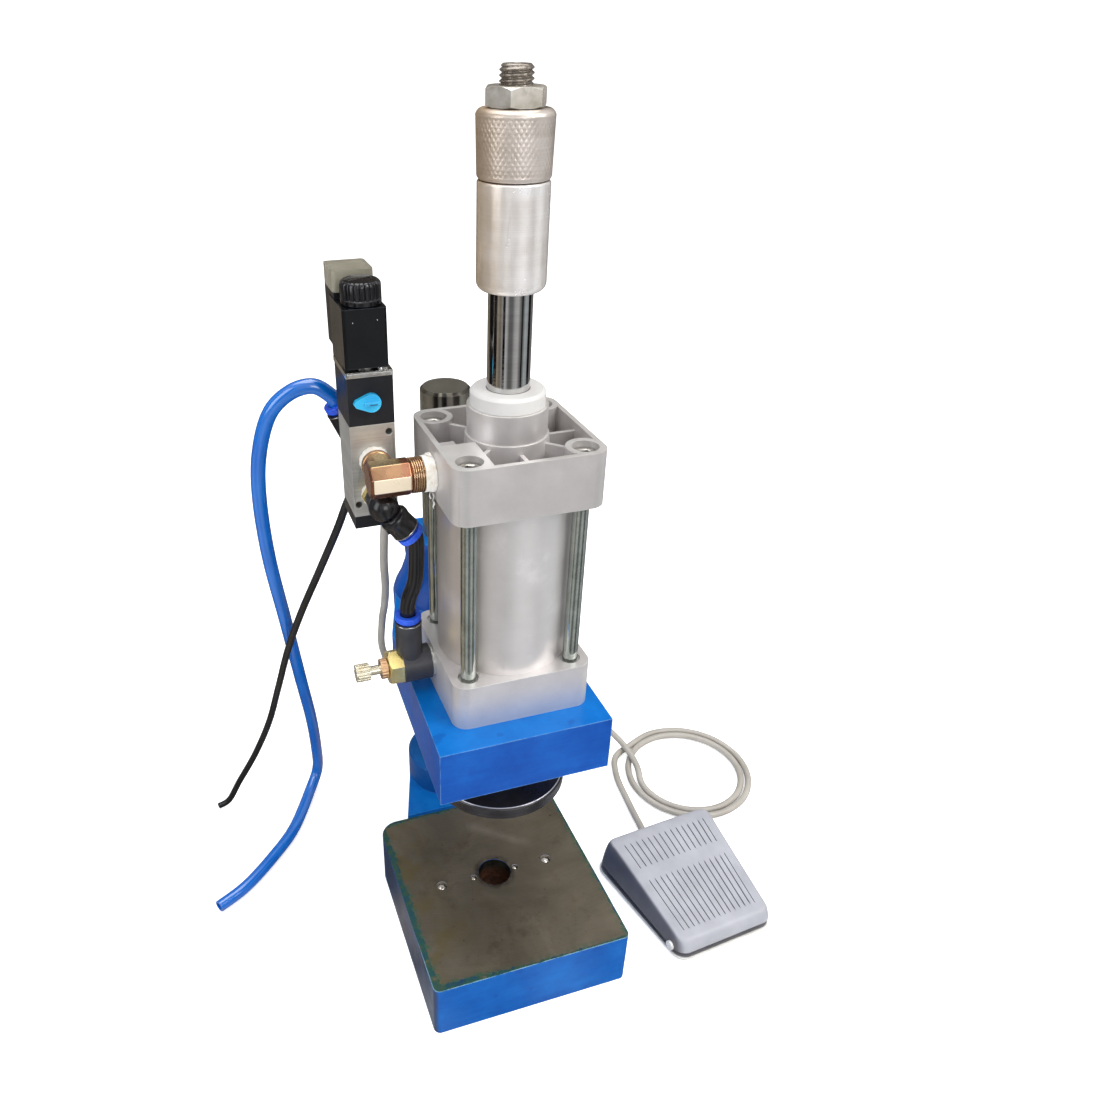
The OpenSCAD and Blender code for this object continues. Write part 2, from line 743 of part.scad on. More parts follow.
// black push-in swivel elbow
module swivel_elbow() color(c_black) difference() {
  union() {
    cyl_y(elbow, 6.6, valve_y - 5.65 - elbow[1]);
    translate(elbow) sphere(r = 7.4);
    on_elbow() cylinder(r = 7.2, h = 18);
    cyl_x(elbow + [6, 0, -5], 2, 4);
  }
  at_valve() cyl_y([0, -9.1, low_port_z], 4.22, 10);
  on_elbow() push_in_bore(4, 14, 40);
}

module upper_release_ring() color(c_ring) on_elbow() up(18.4) release_ring();

// black tube from the swivel elbow down to the speed controller
module link_tube() color(c_black) {
  socket = controller + [0, 0, socket_h];
  hose(curve([
    for (t = [6, 14, 22.6, 26]) elbow + t * elbow_dir,
    for (p = [[4.4, -1, 26], [1, 0, 14], [0, 0, 8], [0, 0, 4.6], [0, 0, -4], [0, 0, -12]])
      socket + p], 4), tube_d / 2, 14);
}

module lower_release_ring() color(c_ring) at_controller() up(socket_h + 0.4) release_ring();

// banjo body of the speed controller on the lower port
module speed_controller_body() color(c_dark) at_controller() difference() {
  union() {
    cyl_x([-4.6, 0, 0], 9.6, 15.4);
    cylinder(r = 7, h = socket_h);
  }
  cyl_x([-10, 0, 0], 6.05, 30);
  cyl_x([-14, 0, 0], 10.4, 9.36);
  push_in_bore(socket_h - 12.1, socket_h - 5, 30);
}

module needle_bore() cyl_x([-20, 0, 0], needle_r + 0.06, 36);

// grooves along X around a knurled part
module knurl_grooves(start_x, radius, length) for (a = [0:20:340])
  translate([start_x, 0, 0]) rotate([a, 0, 0])
    along_x([0, 0, radius]) cylinder(r = 0.8, h = length, $fn = 10);

// brass banjo bolt with its sealing washer
module speed_controller_bolt() color(c_brass) at_controller() difference() {
  union() {
    along_x([-12.2, 0, 0]) intersection() {
      hex(17, 7.5);
      turned([[0, 0], [8.6, 0], [10, 1], [10, 7.5], [0, 7.5]]);
    }
    cyl_x([-5, 0, 0], 6, 20);
    cyl_x([10.82, 0, 0], 8.9, 1.56);
    cyl_x([11, 0, 0], port_r, 9);
  }
  needle_bore();
}

// knurled lock ring on the needle
module needle_lock_ring() color(c_copper) at_controller() difference() {
  cyl_x([-16.2, 0, 0], 5.6, 3.6);
  needle_bore();
  knurl_grooves(-17, 6, 8);
}

// needle with its knurled and slotted knob
module needle_screw() color(c_brass) at_controller() difference() {
  union() {
    cyl_x([-22.4, 0, 0], needle_r, 34);
    cyl_x([-29.6, 0, 0], 4.9, 7.4);
  }
  knurl_grooves(-31, 5.3, 10);
  box([-31, -5, -0.6], [-28.6, 5, 0.6]);
}

// push-in elbow on the rear supply port
module inlet_fitting() color(c_dark) difference() {
  union() {
    at_valve() {
      cyl_y([0, 20, inlet_z], valve_thread_r, 8);
      along_y([0, 26.2, inlet_z]) hex(14, 5);
      cyl_y([0, 30, inlet_z], 6.4, 12);
    }
    translate(inlet) sphere(r = 7.2);
    on_inlet() cylinder(r = 7.2, h = 18);
  }
  on_inlet() push_in_bore(4, 13, 40);
}

module inlet_release_ring() color(c_ring) on_inlet() up(18.4) release_ring();

// sintered silencers in the two rear exhaust ports
module exhaust_silencers() color(c_copper) at_valve() for (z = exhaust_zs) {
  cyl_y([0, 21.5, z], 4.35, 5);
  along_y([0, 26.1, z]) hex(9, 2.4);
  cyl_y([0, 28, z], 3.6, 5);
}

// ---- hose and cables -----------------------------------------------------

// x, y, z of each path after it leaves its fitting
air_hose_points = [
  [-80, 62.5, 353], [-92, 65, 350], [-103, 69, 338], [-110, 74, 314], [-112, 80, 285],
  [-110, 90, 243], [-104, 103, 192], [-97, 119, 132], [-91, 136, 82], [-88, 150, 40],
  [-88, 157, 15], [-95, 148, 5.6], [-114, 112, 4.15], [-133, 89, 4.1], [-154, 69, 4.1],
  [-173, 57.6, 4.1]];
power_cable_points = [
  [-60, 60, 347], [-53, 65, 334], [-50, 67, 318], [-55, 64, 303], [-66, 60, 291],
  [-74, 63, 270], [-84, 70, 243], [-96, 84, 206], [-105, 97, 172], [-113, 110, 134],
  [-121, 124, 96], [-133, 138, 58], [-147, 148, 26], [-156, 151, 8], [-164, 152, 3]];
pedal_cable_drop = [
  [-54, 58, 346], [-47, 60, 331], [-44.5, 61, 312], [-46, 60, 288], [-48, 62, 262],
  [-48, 66, 242], [-46, 74, 222], [-44, 88, 200], [-42, 108, 172], [-37, 132, 132],
  [-20, 152, 84], [16, 166, 40], [70, 172, 14], [114, 166, 8.4], [142, 146, 8.4],
  [151, 120, 8.4]];
pedal_cable_end = [
  [142, 108, 2.5], [133.6, 88, 2.5], [130.4, 66, 2.6], [128.4, 50, 3], [126.6, 37, 4.6],
  [125.6, 29, 5], [126.3, 21.5, 5], [127, 13.5, 5]];

// flat spiral on the bench, growing by the pitch each turn, its start raised
spiral_centre = [187.5, 76];
spiral_pitch = 5.7;
pedal_cable_spiral = [for (a = [155:30:845])
  let (r = 38.8 + (a - 135) / 360 * spiral_pitch, z = a < 170 ? 6.6 : a < 200 ? 3.4 : 2.5)
    [spiral_centre[0] + r * cos(a), spiral_centre[1] + r * sin(a), z]];

// straight start of a cable through the gland; side -1 is left, 1 right
function gland_exit(side) = [for (z = [4, -1, -8]) gland + [side * gland_cable_x, 0, z]];

// blue supply hose, arching down to the left of the press and along the bench
module air_hose() color(c_hose) hose(curve(
  concat([for (t = [5, 14, 22.6, 25.5]) inlet + t * inlet_dir], air_hose_points), 4),
  tube_d / 2, 12);

// black supply cable
module power_cable() color(c_black)
  hose(curve(concat(gland_exit(-1), power_cable_points), 4), cable_d / 2);

// foot switch cable: down to the left of the head, behind the column, across
// the bench to the right, coiled, to the switch
module pedal_cable() color(c_grey)
  hose(curve(concat(gland_exit(1), pedal_cable_drop, pedal_cable_spiral, pedal_cable_end), 3),
    foot_cable_d / 2, 8);

// ---- foot switch ---------------------------------------------------------
// Own frame: centred on the pedal, heel towards -Y, toe towards +Y.

pedal_at = [130.4, -25.5, 0];
pedal_turn = 5;
toe_y = pedal_len / 2;
heel_y = -toe_y;
half_wide = pedal_wide / 2;
half_narrow = pedal_narrow / 2;
pedal_corner_r = 9;
hinge_y = heel_y + 9;
hinge_z = 8;
plunger_at = [4, 6];
spring_at = [20, 12];
spring_turns = 5;
cable_gap = foot_cable_d / 2 + 1.6;

module on_pedal() translate(pedal_at) rotate([0, 0, pedal_turn]) children();

module hinge_hole(radius) cyl_x([-60, hinge_y, hinge_z], radius, 120);

// tapered plan with rounded corners, inset all round
module pedal_plan(inset) {
  c = pedal_corner_r;
  narrow = half_narrow;
  wide = half_wide;
  polygon([[-narrow + c, heel_y + inset], [narrow - c, heel_y + inset],
    [narrow - inset, heel_y + c], [wide - inset, toe_y - c],
    [wide - c, toe_y - inset], [-wide + c, toe_y - inset],
    [-wide + inset, toe_y - c], [-narrow + inset, heel_y + c]]);
  for (side = [-1, 1]) {
    translate([side * (narrow - c), heel_y + c]) circle(c - inset);
    translate([side * (wide - c), toe_y - c]) circle(c - inset);
  }
}

// side view in [y, z] points, extended along X over the whole pedal
module full_width(points)
  translate([-60, 0, 0]) rotate([90, 0, 90]) linear_extrude(120) polygon(points);

// thin rib at x from its side view in [y, z] points
module rib(x, points)
  translate([x, 0, 0]) rotate([90, 0, 90]) linear_extrude(1.4, center = true) polygon(points);

// base tray with its rim, hinge lugs, block and spring seat
module pedal_base() color(c_pedal) on_pedal() difference() {
  union() {
    linear_extrude(2.4) pedal_plan(0);
    difference() {
      linear_extrude(6) pedal_plan(3);
      up(2.4) linear_extrude(10) pedal_plan(5);
    }
    for (side = [-1, 1])
      box([side * 27 - 3, heel_y + 5, 1], [side * 27 + 3, heel_y + 13, 11.4]);
    translate([-8, 13, 1]) cube([16, 8, 2]);
    translate([spring_at[0], spring_at[1], 1]) cylinder(r = 3.2, h = 3);
  }
  hinge_hole(1.55);
  cyl_y([0, toe_y - 8, 5], foot_cable_d / 2 + 0.2, 20);
}

// wedge shaped hollow treadle with a heel and a toe group of ribs
module pedal_cover() color(c_pedal) on_pedal() difference() {
  union() {
    intersection() {
      up(6.6) linear_extrude(40) pedal_plan(0);
      full_width([[heel_y - 2, 0], [toe_y + 2, 0], [toe_y + 2, 24], [toe_y - 5, 27.2],
        [toe_y - 16, 26.4], [heel_y + 6, 14.6], [heel_y - 2, 11.6]]);
    }
    for (k = [0:pedal_ribs - 1]) let (x = (k - (pedal_ribs - 1) / 2) * 60 / pedal_ribs) {
      rib(x * 0.95, [[heel_y + 10, 12], [2, 14], [2, 22.6], [heel_y + 10, 16.2]]);
      rib(x * 1.06, [[12, 18], [toe_y - 14, 20], [toe_y - 14, 27.3], [12, 24.5]]);
    }
  }
  intersection() {
    linear_extrude(40) pedal_plan(2.4);
    full_width([[heel_y - 2, 0], [toe_y + 2, 0], [toe_y + 2, 21.4], [toe_y - 16, 23.6],
      [heel_y + 6, 12], [heel_y - 2, 9]]);
  }
  hinge_hole(1.52);
  // round-topped notch for the cable
  cyl_y([0, toe_y - 8, 8.6], cable_gap, 20);
  box([-cable_gap, toe_y - 8, 0], [cable_gap, toe_y + 8, 8.6]);
}

// hinge pin of the treadle, with its head on the left
module pedal_pin() color(c_chrome) on_pedal() {
  cyl_x([-half_narrow - 1.8, hinge_y, hinge_z], 1.47, 2 * half_narrow + 3);
  cyl_x([-half_narrow - 2.5, hinge_y, hinge_z], 3, 1.7);
}

// return spring of the treadle
module pedal_spring() color(c_steel) on_pedal()
  translate([spring_at[0], spring_at[1], 4.02])
    hose([for (a = [0:40:360 * spring_turns])
      [2.5 * cos(a), 2.5 * sin(a), 0.45 + 15.5 * a / (360 * spring_turns)]], 0.4, 6);

// enclosed snap switch
module pedal_switch() color(c_black) on_pedal() difference() {
  box([-9, 0, 2.42], [9, 12.9, 14]);
  translate([plunger_at[0], plunger_at[1], 6]) cylinder(r = 1.56, h = 10);
}

// its push plunger
module switch_plunger() color(c_ring) on_pedal()
  translate([plunger_at[0], plunger_at[1], 10.4]) cylinder(r = 1.5, h = 8.8);

base_casting();
column();
base_set_screw();
head_casting();
head_clamp_bolts();
bottom_cover();
barrel_tube();
top_cover();
tie_rods();
tie_rod_nuts();
cylinder_screws();
barrel_o_rings();
rod_bushes();
rod_seals();
piston();
piston_seals();
piston_rod();
bumper_ring();
press_disc();
disc_screw();
stop_sleeve();
knurled_nut();
lock_nut();
valve_body();
valve_spool();
pilot_block();
manual_override();
valve_end_cap();
coil_bracket();
coil_housing();
armature_tube();
armature_plunger();
coil_nut();
connector_base();
connector_cover();
cable_gland();
brass_elbow();
thread_tape();
elbow_stud();
swivel_elbow();
upper_release_ring();
link_tube();
lower_release_ring();
speed_controller_body();
speed_controller_bolt();
needle_lock_ring();
needle_screw();
inlet_fitting();
inlet_release_ring();
exhaust_silencers();
air_hose();
power_cable();
pedal_cable();
pedal_base();
pedal_cover();
pedal_pin();
pedal_spring();
pedal_switch();
switch_plunger();
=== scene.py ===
"""Small pneumatic bench press with its foot switch.

The ram axis is Z and the floor is z = 0. -Y is the front, -X the left, and the foot switch stands
on the right. Meshes are laid out in millimetres, shader coordinates are in metres.
"""

import math

import bmesh
import bpy
from mathutils import Matrix, Vector, noise

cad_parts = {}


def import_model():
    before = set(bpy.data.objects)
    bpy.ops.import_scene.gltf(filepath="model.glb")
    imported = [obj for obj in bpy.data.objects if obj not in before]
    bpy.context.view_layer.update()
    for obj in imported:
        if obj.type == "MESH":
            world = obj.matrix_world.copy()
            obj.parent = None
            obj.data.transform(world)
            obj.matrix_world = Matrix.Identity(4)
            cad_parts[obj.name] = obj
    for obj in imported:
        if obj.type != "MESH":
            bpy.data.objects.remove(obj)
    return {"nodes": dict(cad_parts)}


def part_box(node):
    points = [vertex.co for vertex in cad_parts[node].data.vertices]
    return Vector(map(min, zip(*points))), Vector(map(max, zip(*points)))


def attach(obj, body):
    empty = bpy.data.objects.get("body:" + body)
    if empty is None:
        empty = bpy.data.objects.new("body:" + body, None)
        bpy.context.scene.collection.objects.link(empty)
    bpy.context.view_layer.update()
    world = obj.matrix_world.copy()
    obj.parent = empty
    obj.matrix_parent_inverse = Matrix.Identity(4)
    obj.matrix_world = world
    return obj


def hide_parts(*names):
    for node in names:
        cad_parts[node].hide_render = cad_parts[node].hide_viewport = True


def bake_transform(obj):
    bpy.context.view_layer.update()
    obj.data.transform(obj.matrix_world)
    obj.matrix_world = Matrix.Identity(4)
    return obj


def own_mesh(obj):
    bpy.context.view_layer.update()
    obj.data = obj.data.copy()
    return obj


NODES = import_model()["nodes"]
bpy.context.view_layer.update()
MM = 0.001
TAU = 2 * math.pi
MATERIALS = {}
scene = bpy.context.scene


def corners(name):
    """lowest and highest corner of a CAD piece, in millimetres"""
    low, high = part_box(name)
    return Vector(low) / MM, Vector(high) / MM


def middle(name):
    low, high = corners(name)
    return (low.x + high.x) / 2, (low.y + high.y) / 2, (low.z + high.z) / 2


# ------------------------------------------------------------ driving places
TABLE = 39.0  # top of the base
TAPS = ((14.0, 2.1), (35.5, 3.4))  # tapped holes: distance from the die hole, radius
COVER_TOP = corners("bumper_ring")[0].z - 14.02
ROD_BOTTOM, ROD_TOP = (corner.z for corner in corners("piston_rod"))
ROD_SHOULDER = corners("stop_sleeve")[0].z + 20  # chrome ends, stud begins
VALVE_X = middle("valve_body")[0]
VALVE_FRONT = corners("valve_body")[0].y
VALVE_BOTTOM = corners("valve_body")[0].z
COIL_BOTTOM = corners("coil_housing")[0].z
PORT = Vector((-37.5, -2.0, corners("barrel_tube")[1].z + 0.02 + 12.4))
REACH = VALVE_FRONT - PORT.y  # from the port axis back to the valve
CONTROLLER = Vector((-49.9, *middle("needle_lock_ring")[1:]))
CONTROLLER_MOUTH = CONTROLLER.z + 28
SWIVEL = Vector((VALVE_X, 4, VALVE_BOTTOM + 12))
SWIVEL_TILT, INLET_TILT = math.radians(37), math.radians(24)
SWIVEL_WAY = Vector((math.sin(SWIVEL_TILT), 0, -math.cos(SWIVEL_TILT)))
INLET = Vector((VALVE_X, VALVE_FRONT + 42, VALVE_BOTTOM + 24))
INLET_WAY = Vector((-math.sin(INLET_TILT), 0, math.cos(INLET_TILT)))


# ------------------------------------------------------------------ meshes
def new_object(name, verts, faces, scale=MM):
    mesh = bpy.data.meshes.new(name)
    mesh.from_pydata([(v[0] * scale, v[1] * scale, v[2] * scale) for v in verts], [], faces)
    mesh.validate()
    bm = bmesh.new()
    bm.from_mesh(mesh)
    bmesh.ops.recalc_face_normals(bm, faces=bm.faces)
    bm.to_mesh(mesh)
    bm.free()
    mesh.polygons.foreach_set("use_smooth", [True] * len(mesh.polygons))
    mesh.set_sharp_from_angle(angle=math.radians(34))
    obj = bpy.data.objects.new(name, mesh)
    scene.collection.objects.link(obj)
    return obj


def put(obj, body, look, replaces=()):
    """give an object its material, moving body and the CAD pieces it stands for"""
    obj.data.materials.append(MATERIALS[look])
    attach(obj, body)
    if replaces:
        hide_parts(*replaces)


def piece(name, mesh, body, look, replaces=()):
    obj = new_object(name, *mesh)
    put(obj, body, look, replaces)
    return obj


def catmull(points, steps):
    """smooth curve through the points"""
    points = [Vector(p) for p in points]
    last = len(points) - 1
    curve = []
    for i in range(last):
        a, b, c, d = points[max(i - 1, 0)], points[i], points[i + 1], points[min(i + 2, last)]
        for j in range(steps):
            t = j / steps
            curve.append(0.5 * (2 * b + (c - a) * t + (2 * a - 5 * b + 4 * c - d) * t * t
                                + (3 * b - a - 3 * c + d) * t ** 3))
    curve.append(points[-1])
    return curve


def resample(points, step):
    """points at even steps along a line, with its last point kept"""
    even, carry = [points[0]], 0.0
    for a, b in zip(points, points[1:]):
        length = (b - a).length
        t = step - carry
        while t <= length:
            even.append(a.lerp(b, t / length))
            t += step
        carry = length - (t - step)
    if (even[-1] - points[-1]).length > 0.3 * step:
        even.append(points[-1])
    else:
        even[-1] = points[-1]
    return even


def polar(radius, angle, z, centre=(0, 0)):
    return (centre[0] + radius * math.cos(angle), centre[1] + radius * math.sin(angle), z)


def ring(radius, z, sides, centre=(0, 0)):
    """ring of points; the radius is a number or a function of the angle"""
    angles = [TAU * k / sides for k in range(sides)]
    return [polar(radius(a) if callable(radius) else radius, a, z, centre) for a in angles]


def loft(rings, ends="caps"):
    """skin over rings of equal count; the ends are "caps", "open" or joined as a "ring" """
    count, sides = len(rings), len(rings[0])
    verts = [p for points in rings for p in points]
    faces = []
    for i in range(count if ends == "ring" else count - 1):
        here, there = i * sides, (i + 1) % count * sides
        for k in range(sides):
            after = (k + 1) % sides
            faces.append((here + k, here + after, there + after, there + k))
    if ends == "caps":
        faces.append(tuple(reversed(range(sides))))
        faces.append(tuple(range((count - 1) * sides, count * sides)))
    return verts, faces


def lathe(profile, sides, place, ends="caps", turn=0.0):
    """turned solid about the Z of place, from (radius, z) pairs; few sides make a prism"""
    return loft([[place @ Vector(polar(r, TAU * k / sides + turn, z)) for k in range(sides)]
                 for r, z in profile], ends)


def sweep(points, radius, sides, bore=0.0):
    """round tube along the points; bore is the share of the radius drilled into each end"""
    count = len(points)
    section = [polar(radius, TAU * k / sides, 0)[:2] for k in range(sides)]
    ways = [(points[min(i + 1, count - 1)] - points[max(i - 1, 0)]).normalized()
            for i in range(count)]
    side = Vector((0.31, 0.17, 0.93))
    frames = []
    for way in ways:
        side = (side - way * side.dot(way)).normalized()
        frames.append((side.copy(), way.cross(side)))
    verts, faces = loft([[q + a * x + b * y for x, y in section]
                         for q, (a, b) in zip(points, frames)], "open")
    # end rings: share of the section, distance inward
    ends = [(0.96, -0.12), (bore, -0.05), (bore, 4.0)] if bore > 0 else [(0.93, -0.1)]
    for i, sign in ((0, 1), (count - 1, -1)):
        inward = ways[i] * sign
        a, b = frames[i]
        before = list(range(i * sides, (i + 1) * sides))
        for share, depth in ends:
            start = len(verts)
            verts += [points[i] + a * x * share + b * y * share + inward * depth
                      for x, y in section]
            now = list(range(start, start + sides))
            for k in range(sides):
                after = (k + 1) % sides
                faces.append((before[k], before[after], now[after], now[k]))
            before = now
        faces.append(tuple(before))
    return verts, faces


def joined(*parts):
    verts, faces = [], []
    for part_verts, part_faces in parts:
        start = len(verts)
        verts += list(part_verts)
        faces += [tuple(i + start for i in face) for face in part_faces]
    return verts, faces


def aim(origin, axis):
    """matrix that takes the origin to a point and +Z to an axis"""
    z = Vector(axis).normalized()
    x = Vector((0, 0, 1)).cross(z)
    if x.length < 1e-6:
        x = Vector((1, 0, 0))
    x.normalize()
    y = z.cross(x)
    return Matrix(((x.x, y.x, z.x, origin[0]), (x.y, y.y, z.y, origin[1]),
                   (x.z, y.z, z.z, origin[2]), (0, 0, 0, 1)))


def block(low, high, radius, segments=3):
    """box with rounded edges, as verts and faces"""
    bm = bmesh.new()
    bmesh.ops.create_cube(bm, size=1)
    low, high = Vector(low), Vector(high)
    for v in bm.verts:
        v.co = Vector([(a + b) / 2 + c * (b - a) for a, b, c in zip(low, high, v.co)])
    bmesh.ops.bevel(bm, geom=bm.edges[:], offset=radius, segments=segments, profile=0.5,
                    affect="EDGES")
    bm.verts.index_update()
    mesh = [v.co.copy() for v in bm.verts], [tuple(v.index for v in f.verts) for f in bm.faces]
    bm.free()
    return mesh


def ragged(x, y, z, scale=1.0):
    return noise.noise(Vector((x * scale, y * scale, z * scale)))


def round_edges(obj, width, angle):
    bevel = obj.modifiers.new("edges", "BEVEL")
    bevel.width = width * MM
    bevel.segments = 3
    bevel.limit_method = "ANGLE"
    bevel.angle_limit = math.radians(angle)
    return bevel


def weigh_normals(obj):
    normals = obj.modifiers.new("normals", "WEIGHTED_NORMAL")
    normals.keep_sharp = True
    return normals


def solidify(obj, name, thickness, offset=-1):
    shell = obj.modifiers.new(name, "SOLIDIFY")
    shell.thickness = thickness * MM
    shell.offset = offset
    return shell


# ---------------------------------------------------------- shader building
def rgb(red, green, blue):
    """sRGB 0-255 to linear"""
    def linear(c):
        return c / 12.92 if c <= 0.04045 else ((c + 0.055) / 1.055) ** 2.4
    return linear(red / 255), linear(green / 255), linear(blue / 255)


def dim(colour, factor):
    return tuple(int(c * factor) for c in colour)


def maths(operation, swapped=False):
    def build(value, other=0.0):
        pair = (other, value) if swapped else (value, other)
        return value.mat.math(operation, *pair)
    return build


class Value:
    """output of a shader node; sums with it add math nodes, and colours are sRGB triples"""

    def __init__(self, mat, socket):
        self.mat = mat
        self.socket = socket

    __add__ = maths("ADD")
    __sub__ = maths("SUBTRACT")
    __rsub__ = maths("SUBTRACT", swapped=True)
    __mul__ = maths("MULTIPLY")
    __truediv__ = maths("DIVIDE")
    __pow__ = maths("POWER")
    __abs__ = maths("ABSOLUTE")
    sqrt = maths("SQRT")
    fract = maths("FRACT")
    minimum = maths("MINIMUM")
    maximum = maths("MAXIMUM")

    def fade(self, start, end, to=(0.0, 1.0)):
        """first value of to at start, second at end, held beyond"""
        node = self.mat.node("ShaderNodeMapRange")
        for key, value in (("Value", self), ("From Min", start), ("From Max", end),
                           ("To Min", to[0]), ("To Max", to[1])):
            self.mat.feed(node.inputs[key], value)
        return self.mat.out(node)

    def fade_mm(self, start, end):
        return self.fade(start * MM, end * MM)

    def ramp(self, *stops, linear=False):
        """colour ramp from (position, colour) stops"""
        node = self.mat.node("ShaderNodeValToRGB")
        self.mat.feed(node.inputs[0], self)
        elements = node.color_ramp.elements
        while len(elements) < len(stops):
            elements.new(0.5)
        for element, (position, colour) in zip(elements, stops):
            element.position = position
            element.color = (*(colour if linear else rgb(*colour)), 1)
        return self.mat.out(node)

    def blend(self, amount, other, mode):
        node = self.mat.node("ShaderNodeMix", data_type="RGBA", blend_type=mode)
        for i, value in ((0, amount), (6, self), (7, other)):
            self.mat.feed(node.inputs[i], value)
        return self.mat.out(node, 2)

    def mix(self, amount, other):
        """this colour, changed to the other by an amount"""
        return self.blend(amount, rgb(*other) if isinstance(other, tuple) else other, "MIX")

    def tint(self, other):
        """this colour times another, given as a value or as linear factors"""
        return self.blend(1.0, other, "MULTIPLY")


INPUTS = dict(
    color="Base Color", rough="Roughness", metal="Metallic", normal="Normal",
    spec="Specular IOR Level", coat="Coat Weight", coat_rough="Coat Roughness",
    aniso="Anisotropic", tangent="Tangent", sheen="Sheen Weight", trans="Transmission Weight",
    ior="IOR", sss="Subsurface Weight", sss_radius="Subsurface Radius",
    emission="Emission Color", emission_strength="Emission Strength")


class Material:
    """new material with one Principled surface; its methods add shader nodes"""

    def __init__(self, name):
        self.material = MATERIALS[name] = bpy.data.materials.new(name)
        self.material.use_nodes = True
        self.tree = self.material.node_tree
        self.tree.nodes.clear()
        self.output = self.node("ShaderNodeOutputMaterial")
        self.surface = self.node("ShaderNodeBsdfPrincipled")
        self.feed(self.output.inputs[0], self.out(self.surface))
        self.place = self.out(self.node("ShaderNodeTexCoord"), "Object")

    def node(self, kind, **settings):
        node = self.tree.nodes.new(kind)
        for key, value in settings.items():
            setattr(node, key, value)
        return node

    def out(self, node, key=0):
        return Value(self, node.outputs[key])

    def feed(self, socket, value):
        if isinstance(value, Value):
            self.tree.links.new(value.socket, socket)
        elif isinstance(value, tuple) and len(value) == 3 and socket.type == "RGBA":
            socket.default_value = (*value, 1)
        else:
            socket.default_value = value

    def set(self, **values):
        for key, value in values.items():
            self.feed(self.surface.inputs[INPUTS[key]], value)

    def coords(self, scale=(1, 1, 1), turn=(0, 0, 0), shift=(0, 0, 0)):
        node = self.node("ShaderNodeMapping")
        self.feed(node.inputs[0], self.place)
        node.inputs["Location"].default_value = shift
        node.inputs["Rotation"].default_value = turn
        node.inputs["Scale"].default_value = scale
        return self.out(node)

    def noise(self, scale, detail=4, rough=0.55, at=None, distort=0.0):
        node = self.node("ShaderNodeTexNoise")
        self.feed(node.inputs["Vector"], at or self.place)
        node.inputs["Scale"].default_value = scale
        node.inputs["Detail"].default_value = detail
        node.inputs["Roughness"].default_value = rough
        node.inputs["Distortion"].default_value = distort
        return self.out(node, "Fac")

    def stripes(self, along, scale, detail):
        """noise that varies with one value only"""
        node = self.node("ShaderNodeTexNoise", noise_dimensions="1D")
        self.feed(node.inputs["W"], along)
        node.inputs["Scale"].default_value = scale
        node.inputs["Detail"].default_value = detail
        return self.out(node, "Fac")

    def math(self, operation, a, b):
        node = self.node("ShaderNodeMath", operation=operation)
        self.feed(node.inputs[0], a)
        self.feed(node.inputs[1], b)
        return self.out(node)

    def mix_number(self, amount, a, b):
        node = self.node("ShaderNodeMix", data_type="FLOAT")
        for i, value in ((0, amount), (2, a), (3, b)):
            self.feed(node.inputs[i], value)
        return self.out(node)

    def xyz(self, vector=None):
        node = self.node("ShaderNodeSeparateXYZ")
        self.feed(node.inputs[0], vector or self.place)
        return [self.out(node, i) for i in range(3)]

    def normal(self):
        return self.out(self.node("ShaderNodeNewGeometry"), "Normal")

    def facing(self):
        return self.xyz(self.normal())

    def bearing(self, x, y):
        """share of a turn from +X, 0 to 1"""
        return (self.math("ARCTAN2", y, x) / TAU + 1.0).fract()

    def edge(self, radius=0.0006, span=(0.03, 0.3)):
        """1 on sharp edges, 0 elsewhere; span is how far the normal must turn"""
        bevel = self.node("ShaderNodeBevel", samples=4)
        bevel.inputs["Radius"].default_value = radius
        dot = self.node("ShaderNodeVectorMath", operation="DOT_PRODUCT")
        self.feed(dot.inputs[0], self.out(bevel))
        self.feed(dot.inputs[1], self.normal())
        return (1.0 - self.out(dot, "Value")).fade(*span)

    def bump(self, height, strength, distance):
        node = self.node("ShaderNodeBump")
        node.inputs["Strength"].default_value = strength
        node.inputs["Distance"].default_value = distance
        self.feed(node.inputs["Height"], height)
        return self.out(node)


# ------------------------------------------------------------- blue enamel
def table_masks(mat, x, y, z, up):
    """where the table is bare, and the greenish paint line round it"""
    top = up.fade(0.8, 0.95) * z.fade_mm(TABLE - 0.5, TABLE - 0.1)
    top = top * z.fade_mm(TABLE + 0.6, TABLE + 0.3)
    # distance to the rim, made ragged and wider to the left
    low, high = corners("base_casting")
    side = high.x * MM - abs(x)
    front = y + -low.y * MM
    back = 0.0615 - y
    rim = side.minimum(front).minimum(back)
    coarse = (mat.noise(130, detail=5, rough=0.65) - 0.5) * 0.006
    fine = (mat.noise(420, rough=0.6) - 0.5) * 0.003
    rim = rim + (coarse + fine)
    left = (x + y * 0.25).fade(-0.02, -0.058)
    rim = rim - left * (mat.noise(60, rough=0.6) * 0.0052)
    return top * rim.fade(0.0008, 0.0018), top * rim.fade(0.0052, 0.0012)


